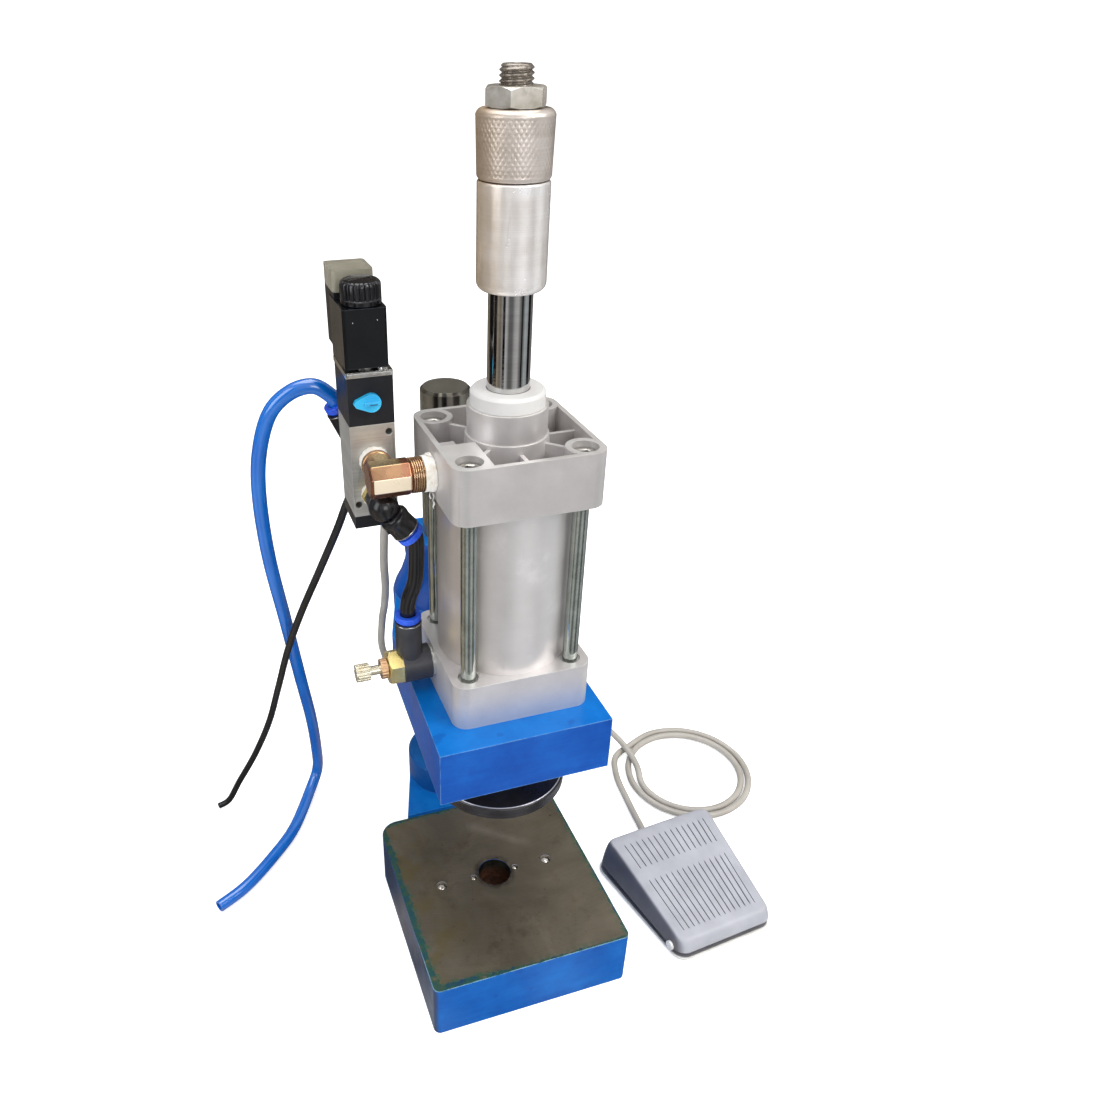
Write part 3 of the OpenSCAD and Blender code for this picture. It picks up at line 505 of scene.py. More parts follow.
def machined_iron(mat, x, y, patches, arcs, from_axis):
    """warm brown grey iron with facing arcs, oil and rust"""
    radius = ((x + 0.16) ** 2 + (y + -0.03) ** 2).sqrt()
    scratches = mat.stripes(radius, scale=900, detail=4)
    iron = patches.ramp((0.25, (86, 79, 66)), (0.45, (96, 89, 76)), (0.62, (106, 98, 84)),
                        (0.8, (122, 114, 100)))
    iron = iron.mix(arcs.fade(0.45, 0.75, to=(0.0, 0.1)), (134, 126, 115))
    iron = iron.mix(scratches.fade(0.35, 0.25, to=(0.0, 0.1)), (58, 52, 46))
    rust = mat.noise(48, detail=6, rough=0.7).fade(0.56, 0.7) * 0.22
    iron = iron.mix(rust, (92, 66, 44))
    # oily olive patches to the left, darker oil all over
    olive = (x + mat.noise(30, detail=5, rough=0.6) * 0.05).fade(0.0, -0.035)
    olive = olive * mat.noise(44, detail=5, rough=0.65).fade(0.42, 0.6)
    iron = iron.mix(olive * 0.85, (98, 86, 52))
    oil = mat.noise(26, detail=6, rough=0.7, at=mat.coords(shift=(0.31, 0.1, 0)))
    iron = iron.mix(oil.fade(0.55, 0.66) * 0.45, (66, 58, 48))
    # one pale wipe mark, slanted behind the right holes
    along = (x - 0.012) * 0.78 + (y - 0.03) * -0.62
    across = (x - 0.012) * 0.62 + (y - 0.03) * 0.78
    across = abs(across) + mat.noise(90, rough=0.6) * 0.006
    wipe = across.fade(0.008, 0.003) * (along.fade(-0.024, -0.016) * along.fade(0.028, 0.012))
    iron = iron.mix(wipe * 0.5, (132, 124, 112))
    pits = mat.noise(330, detail=3, rough=0.6).fade(0.68, 0.74)
    iron = iron.mix(pits * 0.6, (44, 38, 34))
    stain = from_axis.fade(0.0145, 0.0108) * mat.noise(160, rough=0.6).fade(0.35, 0.6)
    return iron.mix(stain, (52, 47, 42))


def paint_holes(mat, colour, x, y, z, from_axis):
    """rusty die hole, darker towards its top, and painted highlights and shade as turns in the
    tapped holes; gives colour and mask
    """
    hole = from_axis.fade(0.01062, 0.0105) * z.fade(0.0388, 0.0386)
    bore = mat.noise(160, detail=5, rough=0.7).ramp(
        (0.35, (62, 38, 28)), (0.55, (104, 66, 48)), (0.75, (140, 100, 78)))
    # darker towards the top of the bore
    bore = bore.mix(z.fade_mm(TABLE - 13, TABLE - 5),
                    mat.noise(200, rough=0.6).ramp((0.4, (22, 23, 19)), (0.7, (52, 50, 42))))
    colour = colour.mix(hole, bore)
    x_size = abs(x)
    y_squared = y ** 2
    tapped = 0.0
    for place, radius in TAPS:
        away = ((x_size - place * MM) ** 2 + y_squared).sqrt()
        tapped = away.fade_mm(radius + 0.12, radius + 0.03).maximum(tapped)
    tapped = tapped * z.fade_mm(TABLE - 0.1, TABLE - 0.3)
    tapped = tapped * z.fade_mm(TABLE - 30, TABLE - 29)
    # painted highlight and shade: bright and dark stripes stand in for lit thread turns
    turns = (z * 800.0).fract()
    colour = colour.mix(tapped, turns.ramp((0.25, (30, 26, 22)), (0.6, (196, 188, 176))))
    return colour, hole.maximum(tapped)


def finish_table(mat, colour, rough, height):
    """painted shade on the left flank, and bare iron table of the base"""
    x, y, z = mat.xyz()
    facing = mat.facing()
    # painted shade: left-facing sides below the table turn dark blue
    flank = facing[0].fade(-0.35, -0.85) * z.fade_mm(TABLE + 1, TABLE - 2)
    painted_flank_shade = mat.noise(70, detail=5, rough=0.65).ramp(
        (0.3, (30, 34, 42)), (0.55, (40, 52, 70)), (0.8, (24, 66, 112)))
    colour = colour.mix(flank * 0.86, painted_flank_shade)
    bare, green = table_masks(mat, x, y, z, facing[2])
    arc_radius = ((x + -0.012) ** 2 + (y + -0.19) ** 2).sqrt()
    arcs = mat.stripes(arc_radius * 1.0, scale=1500, detail=3)
    patches = mat.noise(22, detail=6, rough=0.62, distort=0.6)
    from_axis = (x ** 2 + y ** 2).sqrt()
    iron = machined_iron(mat, x, y, patches, arcs, from_axis)
    colour = colour.mix(green, mat.noise(210, rough=0.6).ramp(
        (0.32, (34, 58, 84)), (0.5, (36, 74, 66)), (0.62, (58, 72, 58)), (0.75, (92, 92, 74))))
    colour = colour.mix(bare, iron)
    flecks = green * bare * mat.noise(260, rough=0.7).fade(0.5, 0.62)
    colour = colour.mix(flecks, (46, 96, 72))
    colour, holes = paint_holes(mat, colour, x, y, z, from_axis)
    bare = bare.maximum(holes)
    rough = mat.mix_number(bare, rough, patches.fade(0.3, 0.7, to=(0.34, 0.52)))
    grain = mat.noise(500, detail=3, rough=0.6)
    height = height.blend(bare, arcs * 0.35 + grain * 0.4, "MIX")
    return colour, rough, height, bare


def make_blue(name, base=False):
    """brushed enamel with chipped edges, painted highlights along the edges and painted light on the
    top faces; on the base also painted shade above the table
    """
    mat = Material(name)
    patches = mat.noise(38, detail=5, rough=0.6)
    fine = mat.noise(260, detail=3, rough=0.5)
    strokes = mat.noise(30, rough=0.6, at=mat.coords(scale=(1.0, 9.0, 9.0), turn=(0, 0, 0.06)))
    if base:
        deep, mid, pale = (0, 70, 148), (4, 88, 168), (16, 110, 190)
    else:
        deep, mid, pale = (0, 58, 138), (0, 74, 160), (4, 96, 184)
    colour = (patches * 0.75 + strokes * 0.25).ramp((0.26, deep), (0.5, mid), (0.82, pale))
    # painted light: faces turned up are lighter and greener
    painted_top_light = mat.facing()[2].fade(0.55, 0.95)
    colour = colour.mix(painted_top_light * 0.75, patches.ramp((0.3, (0, 100, 182)), (0.7, (16, 124, 206))))
    spots = mat.noise(90, detail=2, rough=0.4).fade(0.68, 0.74)
    colour = colour.mix(spots * 0.35, (3, 58, 140))
    edge = mat.edge(radius=0.0011, span=(0.03, 0.28))
    chips = mat.noise(150, detail=5, rough=0.65).fade(0.52, 0.60) * edge
    # painted highlight: pale blue along the edges
    colour = colour.mix(edge * 0.35, (92, 150, 214))
    colour = colour.mix(chips, (44, 62, 58))
    rough = patches.fade(0.3, 0.7, to=(0.26, 0.42))
    height = mat.noise(85, rough=0.5) * 0.9 + strokes * 0.25 + fine * 0.22
    metal = 0.0
    if base:
        colour, rough, height, bare = finish_table(mat, colour, rough, height)
        metal = bare * 0.5
    # pale arris, partly painted highlight and partly worn edge; on the base only along the front of
    # the table
    arris = mat.edge(radius=0.0009, span=(0.02, 0.2))
    arris = arris * mat.noise(110, detail=5, rough=0.7).fade(0.36, 0.5)
    if base:
        arris = arris * abs(mat.xyz()[2] - TABLE * MM).fade(0.0011, 0.0006)
        arris = arris * mat.xyz()[1].fade(-0.03, -0.05)
    colour = colour.mix(arris * (0.85 if base else 0.3), (168, 214, 232))
    if base:
        # painted shade: the base turns darker above the table, under the head
        painted_shade_above_table = mat.xyz()[2].fade_mm(TABLE + 1.5, TABLE + 4)
        colour = colour.mix(painted_shade_above_table * 0.45, (14, 30, 58))
    mat.set(color=colour, rough=rough, metal=metal, spec=0.14, coat=0.14, coat_rough=0.1,
            normal=mat.bump(height, strength=0.35, distance=0.0005))
    if base:
        # no clear coat on bare iron
        mat.set(coat=mat.mix_number(bare, 0.14, 0.0))


# ------------------------------------------------------- families of material
def make_cast(name, top=None):
    """die cast aluminium with painted highlights on its edges; with a top level, also a dark pocket,
    a machined top face and painted shade on the front faces
    """
    mat = Material(name)
    patches = mat.noise(60, detail=5, rough=0.6)
    colour = patches.ramp((0.3, (208, 204, 202)), (0.55, (216, 212, 210)),
                          (0.75, (224, 220, 218)))
    grain = mat.noise(900, detail=3, rough=0.6)
    colour = colour.mix(grain.fade(0.3, 0.45, to=(0.05, 0.0)), (150, 147, 146))
    # painted highlight along the edges
    colour = colour.mix(mat.edge(radius=0.0007) * 0.75, (250, 249, 248))
    rough = patches.fade(0.3, 0.7, to=(0.36, 0.48))
    if top is not None:
        floor = top - 15
        low = mat.xyz()[2].fade_mm(floor + 9, floor + 1)
        x, y, _ = mat.xyz()
        inside = mat.math("LESS_THAN", abs(x).maximum(abs(y)), 0.0352)
        low = low * inside
        colour = colour.mix(low * 0.45, (126, 122, 122))
        rough = mat.mix_number(low, rough, 0.6)
        machined = mat.facing()[2].fade(0.9, 0.98) * mat.xyz()[2].fade_mm(top - 1.2, top - 0.9)
        colour = colour.mix(machined, mat.noise(70, rough=0.5).ramp(
            (0.35, (222, 219, 215)), (0.65, (234, 232, 229))))
        rough = mat.mix_number(machined, rough, 0.3)
    height = grain * 0.5 + mat.noise(240, rough=0.6) * 0.7
    if top is not None:
        # painted shade: front faces of the upper cover made darker
        front = mat.facing()[1].fade(-0.6, -0.95)
        colour = colour.mix(front, colour.tint((0.84, 0.84, 0.84)))
    mat.set(color=colour, rough=rough, metal=0.58,
            normal=mat.bump(height, strength=0.1, distance=0.00018))


def make_turned(name, base, dark, lines, rough, metal, scratch, axis="Z", band=0.45, wear_and_highlight=0.5,
                sheen=None, slope_shade=None, cap=None, rim=None):
    """turned metal: fine rings across the axis, small scratches and smears

    lines is the ring density and band the strength of the rings. sheen is painted light and
    reflection, a tint by bearing; the slope colour paints shade on the slopes, cap colours the top
    faces, and rim = (z, colour) paints a highlight on the slopes above z.
    """
    mat = Material(name)
    axes = mat.xyz()
    along = axes["XYZ".index(axis)]
    rings = mat.stripes(along, scale=lines, detail=2)
    bands = mat.stripes(along, scale=160, detail=3)
    patches = mat.noise(45, detail=5, rough=0.6)
    light = tuple(min(255, c + 22) for c in base)
    colour = (patches * (1 - band) + bands * band).ramp((0.3, dark), (0.55, base), (0.8, light))
    colour = colour.mix(rings.fade(0.35, 0.6, to=(0.4 * band, 0.0)), dim(base, 0.62))
    stretch = [1, 1, 1]
    stretch["XYZ".index(axis)] = 0.06
    scratches = mat.noise(520, detail=3, rough=0.6, at=mat.coords(stretch)).fade(0.64, 0.74)
    colour = colour.mix(scratches * scratch, dim(base, 0.7))
    smears = mat.noise(26, detail=5, rough=0.65, distort=0.5).fade(0.56, 0.72)
    colour = colour.mix(smears * (0.5 * band), dim(dark, 0.78))
    # painted shade on the slopes, hiding their reflection
    if slope_shade:
        up = mat.facing()[2]
        slope = up.fade(0.2, 0.35) * up.fade(0.97, 0.9)
        colour = colour.mix(slope * 0.85, slope_shade)
    # painted light and reflections: colour tinted by the bearing of the surface
    if sheen:
        facing = mat.facing()
        turn = mat.bearing(facing[0], facing[1])
        colour = colour.tint(turn.ramp(*[(angle / 360, tint) for angle, tint in sheen]))
    # painted highlight and wear along the edges
    colour = colour.mix(mat.edge(radius=0.0007) * wear_and_highlight, (244, 241, 236))
    height = rings * 0.5 + scratches * -0.35
    if cap:
        top = mat.facing()[2].fade(0.9, 0.97)
        colour = colour.mix(top, patches.ramp((0.3, dim(cap, 0.92)), (0.7, cap)))
        height = height * (1.0 - top)
    # painted highlight on the slopes above the rim level
    if rim:
        level, rim_highlight_colour = rim
        up = mat.facing()[2]
        slope = up.fade(0.2, 0.35) * axes[2].fade_mm(level - 0.1, level + 0.1)
        slope = slope * up.fade(0.97, 0.9)
        colour = colour.mix(slope * 0.9, rim_highlight_colour)
    tangent = mat.out(mat.node("ShaderNodeTangent", direction_type="RADIAL", axis=axis))
    mat.set(color=colour, metal=metal, rough=patches.fade(0.3, 0.7, to=(rough - 0.05, rough + 0.09)),
            aniso=0.55, tangent=tangent,
            normal=mat.bump(height, strength=0.05 + 0.22 * band, distance=0.00012))


def make_metal(name, dark, light, rough, metal=1.0, grain=700, bump=0.12, edge=(240, 238, 232),
               wear_and_highlight=0.4, stain=None, beyond=None):
    """plain metal; stain = (colour, amount), beyond = (x, colour from there to the right)"""
    mat = Material(name)
    patches = mat.noise(70, detail=5, rough=0.6)
    colour = patches.ramp((0.32, dark), (0.7, light))
    if stain:
        stains = mat.noise(120, detail=5, rough=0.7).fade(0.54, 0.66)
        colour = colour.mix(stains * stain[1], stain[0])
    if beyond:
        colour = colour.mix(mat.xyz()[0].fade_mm(beyond[0], beyond[0] + 0.1), beyond[1])
    fine = mat.noise(grain, detail=3, rough=0.6)
    # painted highlight and wear along the edges
    colour = colour.mix(mat.edge() * wear_and_highlight, edge)
    rough_range = (max(0.03, rough - 0.06), rough + 0.08)
    mat.set(color=colour, metal=metal, rough=patches.fade(0.3, 0.7, to=rough_range),
            normal=mat.bump(fine + patches * 0.6, strength=bump, distance=0.00015))


def make_plastic(name, dark, light, rough, grain=900, bump=0.12, edge=None, wear_and_highlight=0.25, coat=0.0,
                 dirt=None, sss=0.0, patch=60, depth=0.00012, spec=0.5):
    """moulded plastic; patch and grain are noise scales, dirt = (colour, amount)"""
    mat = Material(name)
    patches = mat.noise(patch)
    colour = patches.ramp((0.3, dark), (0.7, light))
    if dirt:
        dirty = mat.noise(34, detail=6, rough=0.7).fade(0.55, 0.72)
        colour = colour.mix(dirty * dirt[1], dirt[0])
    fine = mat.noise(grain, detail=3, rough=0.6)
    # painted highlight and wear along the edges
    if edge:
        colour = colour.mix(mat.edge() * wear_and_highlight, edge)
    rough_range = (max(0.04, rough - 0.07), rough + 0.08)
    mat.set(color=colour, rough=patches.fade(0.3, 0.7, to=rough_range), spec=spec, coat=coat,
            coat_rough=0.08,
            normal=mat.bump(fine + patches * 0.5, strength=bump, distance=depth))
    if sss:
        mat.set(sss=sss, sss_radius=(0.002, 0.002, 0.002))


# --------------------------------------------------------- single materials
def make_copper():
    """brown alloy bar with a painted highlight on its front flat, broken up by noise, and painted
    highlights on its edges
    """
    mat = Material("copper")
    patches = mat.noise(70, detail=3, rough=0.5)
    colour = patches.ramp((0.3, (150, 102, 78)), (0.55, (176, 124, 96)), (0.8, (196, 150, 120)))
    drawn = mat.noise(500, detail=3, rough=0.6, at=mat.coords(scale=(0.05, 1, 1)))
    colour = colour.mix(drawn.fade(0.55, 0.7, to=(0.0, 0.15)), (130, 86, 66))
    facing = mat.facing()
    x = mat.xyz()[0]
    # painted highlight: the front-facing flat turns pale cream and less metallic
    front = facing[1].fade(-0.86, -0.95) * x.fade_mm(PORT.x - 12, PORT.x - 13)
    highlight_breakup = mat.noise(120, rough=0.6, at=mat.coords(scale=(0.5, 1, 1)))
    highlight_breakup = highlight_breakup + mat.edge(radius=0.0012, span=(0.02, 0.3)) * -0.3
    front = front * highlight_breakup.fade(0.1, 0.16)
    colour = colour.mix(front * 0.92, (255, 240, 212))
    crown = facing[2].fade(0.6, 0.9) * x.fade_mm(PORT.x - 15, PORT.x - 17)
    colour = colour.mix(crown * 0.45, (206, 200, 146))
    # painted highlight along the edges
    colour = colour.mix(mat.edge() * 0.6, (250, 222, 190))
    mat.set(color=colour, metal=mat.mix_number(front, 0.9, 0.45),
            rough=patches.fade(0.3, 0.7, to=(0.2, 0.34)),
            normal=mat.bump(patches + drawn, strength=0.1, distance=0.00015))


def make_pedal_top():
    """grey plastic, with painted shade in the grooves and on the left side"""
    mat = Material("pedal_top")
    patches = mat.noise(60)
    colour = patches.ramp((0.3, (158, 159, 166)), (0.7, (172, 173, 180)))
    groove = mat.out(mat.node("ShaderNodeAttribute", attribute_name="groove"), "Fac")
    # painted shade in the grooves
    colour = colour.mix(groove * 0.1, (110, 110, 120))
    # painted shade on the left side
    side = mat.facing()[0].fade(-0.35, -0.8)
    colour = colour.mix(side * 0.8, mat.noise(30, rough=0.6).ramp(
        (0.3, (44, 43, 44)), (0.7, (72, 70, 74))))
    grain = mat.noise(2600, detail=3, rough=0.6)
    mat.set(color=colour, rough=patches.fade(0.3, 0.7, to=(0.36, 0.48)), spec=0.45,
            normal=mat.bump(grain, strength=0.35, distance=0.00008))


def make_tape():
    mat = Material("tape")
    fibres = mat.noise(260, detail=5, rough=0.65, at=mat.coords(scale=(0.4, 1, 1)))
    colour = fibres.ramp((0.3, (232, 224, 208)), (0.55, (250, 246, 238)), (0.8, (255, 254, 250)))
    stains = mat.noise(90, detail=5, rough=0.7).fade(0.56, 0.68)
    colour = colour.mix(stains * 0.35, (196, 176, 140))
    height = fibres + mat.noise(900, detail=3, rough=0.6)
    mat.set(color=colour, rough=0.4, sss=0.2, sss_radius=(0.0015, 0.0015, 0.0012), sheen=0.2,
            normal=mat.bump(height, strength=0.4, distance=0.0003))


def make_smoke():
    mat = Material("smoke")
    patches = mat.noise(120, rough=0.6)
    mat.set(color=patches.ramp((0.3, (196, 191, 172)), (0.7, (216, 212, 194))),
            rough=patches.fade(0.3, 0.7, to=(0.08, 0.2)), trans=0.62, ior=1.45, spec=0.5,
            normal=mat.bump(mat.noise(700, detail=3, rough=0.6), strength=0.08, distance=0.0001))


# painted light and reflections on turned metal, as tints by bearing of the surface in degrees, sRGB
TURNED_PAINTED_LIGHT = [
    (0, (118, 114, 110)), (40, (140, 136, 130)), (140, (214, 196, 166)), (175, (222, 204, 176)),
    (205, (236, 224, 208)), (232, (250, 246, 240)), (262, (255, 255, 255)),
    (304, (255, 255, 255)), (320, (228, 226, 223)), (334, (176, 172, 168)),
    (347, (126, 122, 118))]
COLUMN_PAINTED_LIGHT = [
    (0, (150, 148, 142)), (150, (200, 198, 188)), (205, (214, 212, 202)), (222, (200, 198, 190)),
    (229, (76, 74, 70)), (236, (60, 58, 54)), (239, (220, 218, 210)), (244, (230, 228, 222)),
    (247, (84, 82, 78)), (255, (70, 68, 66)), (259, (236, 234, 230)), (268, (250, 248, 244)),
    (273, (120, 118, 114)), (284, (96, 94, 90)), (290, (210, 208, 202)), (312, (176, 174, 168)),
    (330, (140, 138, 132))]
BARREL_PAINTED_LIGHT = [
    (0, (190, 188, 186)), (40, (170, 168, 166)), (150, (206, 201, 194)), (185, (220, 214, 206)),
    (215, (222, 217, 211)), (236, (234, 231, 228)), (262, (255, 255, 255)),
    (285, (255, 255, 255)), (312, (236, 235, 234)), (335, (188, 186, 183))]


def make_turned_metals():
    make_turned("sleeve", (252, 248, 246), (226, 218, 208), lines=2300, rough=0.22, metal=0.58,
                scratch=0.3, band=0.2, sheen=TURNED_PAINTED_LIGHT)
    make_turned("knurl", (222, 212, 204), (188, 177, 164), lines=1200, rough=0.32, metal=0.62,
                scratch=0.3, band=0.25, sheen=TURNED_PAINTED_LIGHT)
    make_turned("rod", (206, 205, 204), (190, 188, 186), lines=3000, rough=0.05, metal=1.0,
                scratch=0.1)
    # column: painted shade on its chamfer slopes and painted reflection bands on its side
    make_turned("column", (176, 172, 164), (160, 156, 148), lines=1500, rough=0.2, metal=0.68,
                scratch=0.1, band=0.15, wear_and_highlight=0.0, slope_shade=(96, 92, 84), cap=(134, 131, 121),
                sheen=COLUMN_PAINTED_LIGHT)
    # disc: painted highlights on its edges and on its rim slope
    make_turned("disc", (58, 56, 58), (34, 33, 35), lines=1100, rough=0.2, metal=0.5,
                scratch=0.25, wear_and_highlight=1.0, rim=(134.32, (200, 200, 204)))
    make_turned("barrel", (230, 227, 226), (224, 220, 219), lines=3000, rough=0.34, metal=0.62,
                scratch=0.08, band=0.08, sheen=BARREL_PAINTED_LIGHT)
    make_turned("valve_alu", (198, 197, 191), (180, 179, 172), lines=900, rough=0.34, metal=0.6,
                scratch=0.2)
    make_turned("brass_p", (226, 184, 142), (180, 132, 96), lines=2200, rough=0.26, metal=0.85,
                scratch=0.3, axis="X")


def make_metals():
    make_metal("brass_y", (226, 196, 112), (250, 228, 152), rough=0.2, metal=0.75, grain=900,
               bump=0.1, edge=(255, 246, 206), wear_and_highlight=0.5)
    make_metal("bolt", (232, 204, 122), (254, 236, 164), rough=0.2, metal=0.75, grain=900,
               bump=0.1, edge=(255, 248, 212), wear_and_highlight=0.5,
               beyond=(CONTROLLER.x + 10.2, (206, 205, 200)))
    make_metal("brass_pale", (222, 214, 186), (246, 240, 220), rough=0.22, metal=0.75, grain=900,
               edge=(255, 252, 240), wear_and_highlight=0.5, stain=((176, 146, 92), 0.4))
    make_metal("nut", (192, 185, 170), (252, 247, 240), rough=0.2, metal=0.58, grain=600,
               bump=0.14, stain=((132, 120, 98), 0.35))
    make_metal("zinc", (150, 148, 140), (196, 193, 186), rough=0.28, bump=0.15,
               stain=((108, 98, 84), 0.35))
    make_metal("stud", (124, 116, 106), (174, 166, 156), rough=0.28, metal=0.7, grain=900,
               bump=0.15, edge=(204, 196, 186), wear_and_highlight=0.6, stain=((70, 56, 44), 0.5))
    make_metal("bright", (196, 196, 192), (224, 223, 219), rough=0.18, grain=800, bump=0.08)
    make_metal("tie", (160, 168, 162), (198, 204, 198), rough=0.12, metal=0.95, grain=900,
               bump=0.08, stain=((134, 138, 132), 0.25))
    make_metal("oxide", (20, 20, 22), (44, 43, 45), rough=0.42, metal=0.7, grain=900, bump=0.2,
               edge=(120, 118, 116))
    make_metal("bronze", (150, 104, 60), (196, 150, 96), rough=0.42, metal=0.9, bump=0.35,
               edge=(230, 190, 130), stain=((98, 66, 40), 0.4))
    # near-white, low-metal pin: painted highlight for the glint on its head
    make_metal("pin", (232, 231, 228), (250, 249, 246), rough=0.3, metal=0.25, grain=800,
               bump=0.08)
    make_metal("thread_brass", (150, 108, 74), (204, 162, 118), rough=0.22, metal=0.8, grain=900,
               bump=0.1, edge=(255, 236, 200), wear_and_highlight=0.9)


def make_plastics():
    make_plastic("black_mid", (40, 40, 44), (62, 62, 67), rough=0.4, grain=1300, bump=0.14,
                 edge=(130, 130, 134), wear_and_highlight=0.3)
    make_plastic("black", (18, 19, 23), (32, 33, 38), rough=0.36, grain=1500, bump=0.14,
                 edge=(110, 112, 118), wear_and_highlight=0.35, spec=0.3)
    make_plastic("black_gloss", (12, 12, 15), (24, 24, 28), rough=0.16, bump=0.06,
                 edge=(110, 112, 120), wear_and_highlight=0.3, coat=0.3)
    make_plastic("black_satin", (16, 16, 18), (30, 30, 33), rough=0.3, grain=1300,
                 edge=(120, 120, 122), coat=0.25)
    make_plastic("coil", (8, 10, 13), (16, 18, 21), rough=0.2, grain=700, bump=0.06,
                 edge=(100, 104, 112), wear_and_highlight=0.35, coat=0.1, dirt=((56, 54, 50), 0.12), spec=0.25)
    make_plastic("white", (202, 200, 197), (214, 212, 209), rough=0.42, edge=(255, 255, 252),
                 wear_and_highlight=0.3, sss=0.1)
    make_plastic("cyan", (24, 158, 214), (52, 196, 238), rough=0.24, bump=0.08,
                 edge=(140, 220, 250), wear_and_highlight=0.4, coat=0.3)
    make_plastic("ring_blue", (22, 70, 204), (40, 98, 230), rough=0.26, bump=0.08,
                 edge=(130, 160, 250), wear_and_highlight=0.4, coat=0.25)
    make_plastic("hose_blue", (0, 96, 190), (4, 112, 206), rough=0.16, grain=500, bump=0.05,
                 coat=0.8, patch=26, spec=1.0)
    make_plastic("cable_black", (22, 22, 23), (36, 36, 37), rough=0.36, grain=1100, bump=0.14,
                 patch=40, coat=0.15)
    make_plastic("cable_grey", (160, 155, 146), (180, 175, 166), rough=0.42, grain=1100,
                 bump=0.14, patch=40, dirt=((136, 130, 120), 0.3))
    make_plastic("pedal", (152, 153, 162), (166, 167, 176), rough=0.42, grain=2600, bump=0.35,
                 edge=(216, 217, 226), wear_and_highlight=0.35, dirt=((138, 138, 150), 0.22), depth=0.00008)
    # pedal lip: painted highlight along its edges
    make_plastic("pedal_lip", (104, 103, 106), (124, 123, 126), rough=0.36, grain=2600,
                 bump=0.25, edge=(246, 244, 238), wear_and_highlight=0.95, depth=0.00008)
    make_plastic("rim", (206, 204, 198), (226, 224, 219), rough=0.3, grain=1200, bump=0.1)
    make_plastic("slot_blue", (8, 70, 110), (16, 92, 136), rough=0.4, bump=0.1)
    make_plastic("seal", (18, 18, 18), (30, 30, 30), rough=0.55, bump=0.15)


make_blue("blue_base", base=True)
make_blue("blue_head")
make_cast("cast_lower")
make_cast("cast_upper", top=COVER_TOP)
make_turned_metals()
make_metals()
make_copper()
make_plastics()
make_pedal_top()
make_tape()
make_smoke()

# --------------------------------------------------------------- CAD pieces
# piece: material, edge rounding in millimetres
CAD_LOOKS = {
    "base_casting": ("blue_base", 0.9), "head_casting": ("blue_head", 1.1),
    "column": ("column", 0.2), "base_set_screw": ("oxide", 0),
    "head_clamp_bolts": ("zinc", 0.3), "bottom_cover": ("cast_lower", 0.5),
    "top_cover": ("cast_upper", 0.5), "barrel_tube": ("barrel", 0), "tie_rods": ("tie", 0),
    "tie_rod_nuts": ("zinc", 0.25), "cylinder_screws": ("oxide", 0.3),
    "barrel_o_rings": ("seal", 0), "rod_bushes": ("bronze", 0), "rod_seals": ("seal", 0),
    "piston": ("barrel", 0), "piston_seals": ("seal", 0), "bumper_ring": ("white", 0.3),
    "press_disc": ("disc", 0.3), "disc_screw": ("oxide", 0), "stop_sleeve": ("sleeve", 0.25),
    "lock_nut": ("nut", 0.3), "valve_body": ("valve_alu", 0.35), "valve_spool": ("nut", 0),
    "pilot_block": ("black", 0.6), "manual_override": ("cyan", 0.4),
    "valve_end_cap": ("black", 0.6), "coil_bracket": ("bright", 0.2),
    "coil_housing": ("coil", 0.7), "armature_tube": ("bright", 0),
    "armature_plunger": ("nut", 0), "coil_nut": ("black_gloss", 0.25),
    "connector_base": ("black", 0.7), "connector_cover": ("smoke", 0.9),
    "cable_gland": ("black", 0.3), "brass_elbow": ("copper", 0.6),
    "elbow_stud": ("brass_y", 0.3), "swivel_elbow": ("black", 0.5),
    "upper_release_ring": ("ring_blue", 0.35), "lower_release_ring": ("ring_blue", 0.35),
    "speed_controller_body": ("black_mid", 0.6), "speed_controller_bolt": ("bolt", 0.3),
    "needle_lock_ring": ("brass_p", 0.2), "needle_screw": ("brass_pale", 0.2),
    "inlet_fitting": ("black", 0.5), "inlet_release_ring": ("ring_blue", 0.35),
    "exhaust_silencers": ("bronze", 0.25), "pedal_base": ("pedal_lip", 0.5),
    "pedal_pin": ("pin", 0), "pedal_spring": ("zinc", 0), "pedal_switch": ("black", 0.4),
    "switch_plunger": ("ring_blue", 0),
}


def dress(name, look, rounding):
    """material, smooth shading and rounded edges for a CAD piece"""
    obj = NODES[name]
    mesh = obj.data
    mesh.materials.clear()
    mesh.materials.append(MATERIALS[look])
    mesh.polygons.foreach_set("material_index", [0] * len(mesh.polygons))
    for attribute in ("custom_normal", "sharp_face", "sharp_edge"):
        if attribute in mesh.attributes:
            mesh.attributes.remove(mesh.attributes[attribute])
    mesh.polygons.foreach_set("use_smooth", [True] * len(mesh.polygons))
    weld = obj.modifiers.new("weld", "WELD")
    weld.merge_threshold = 2e-6
    if rounding:
        bevel = round_edges(obj, rounding, angle=38)
        bevel.use_clamp_overlap = True
        bevel.miter_outer = "MITER_ARC"
        bevel.harden_normals = False
    normals = weigh_normals(obj)
    normals.weight = 100
    normals.mode = "FACE_AREA_WITH_ANGLE"


for name, (look, rounding) in CAD_LOOKS.items():
    dress(name, look, rounding)


# -------------------------------------------------- rod, stud and stop nut
STUD_RADIUS, STUD_PITCH, STUD_DEPTH, STUD_CHAMFER = 6.95, 2.0, 0.95, 1.4


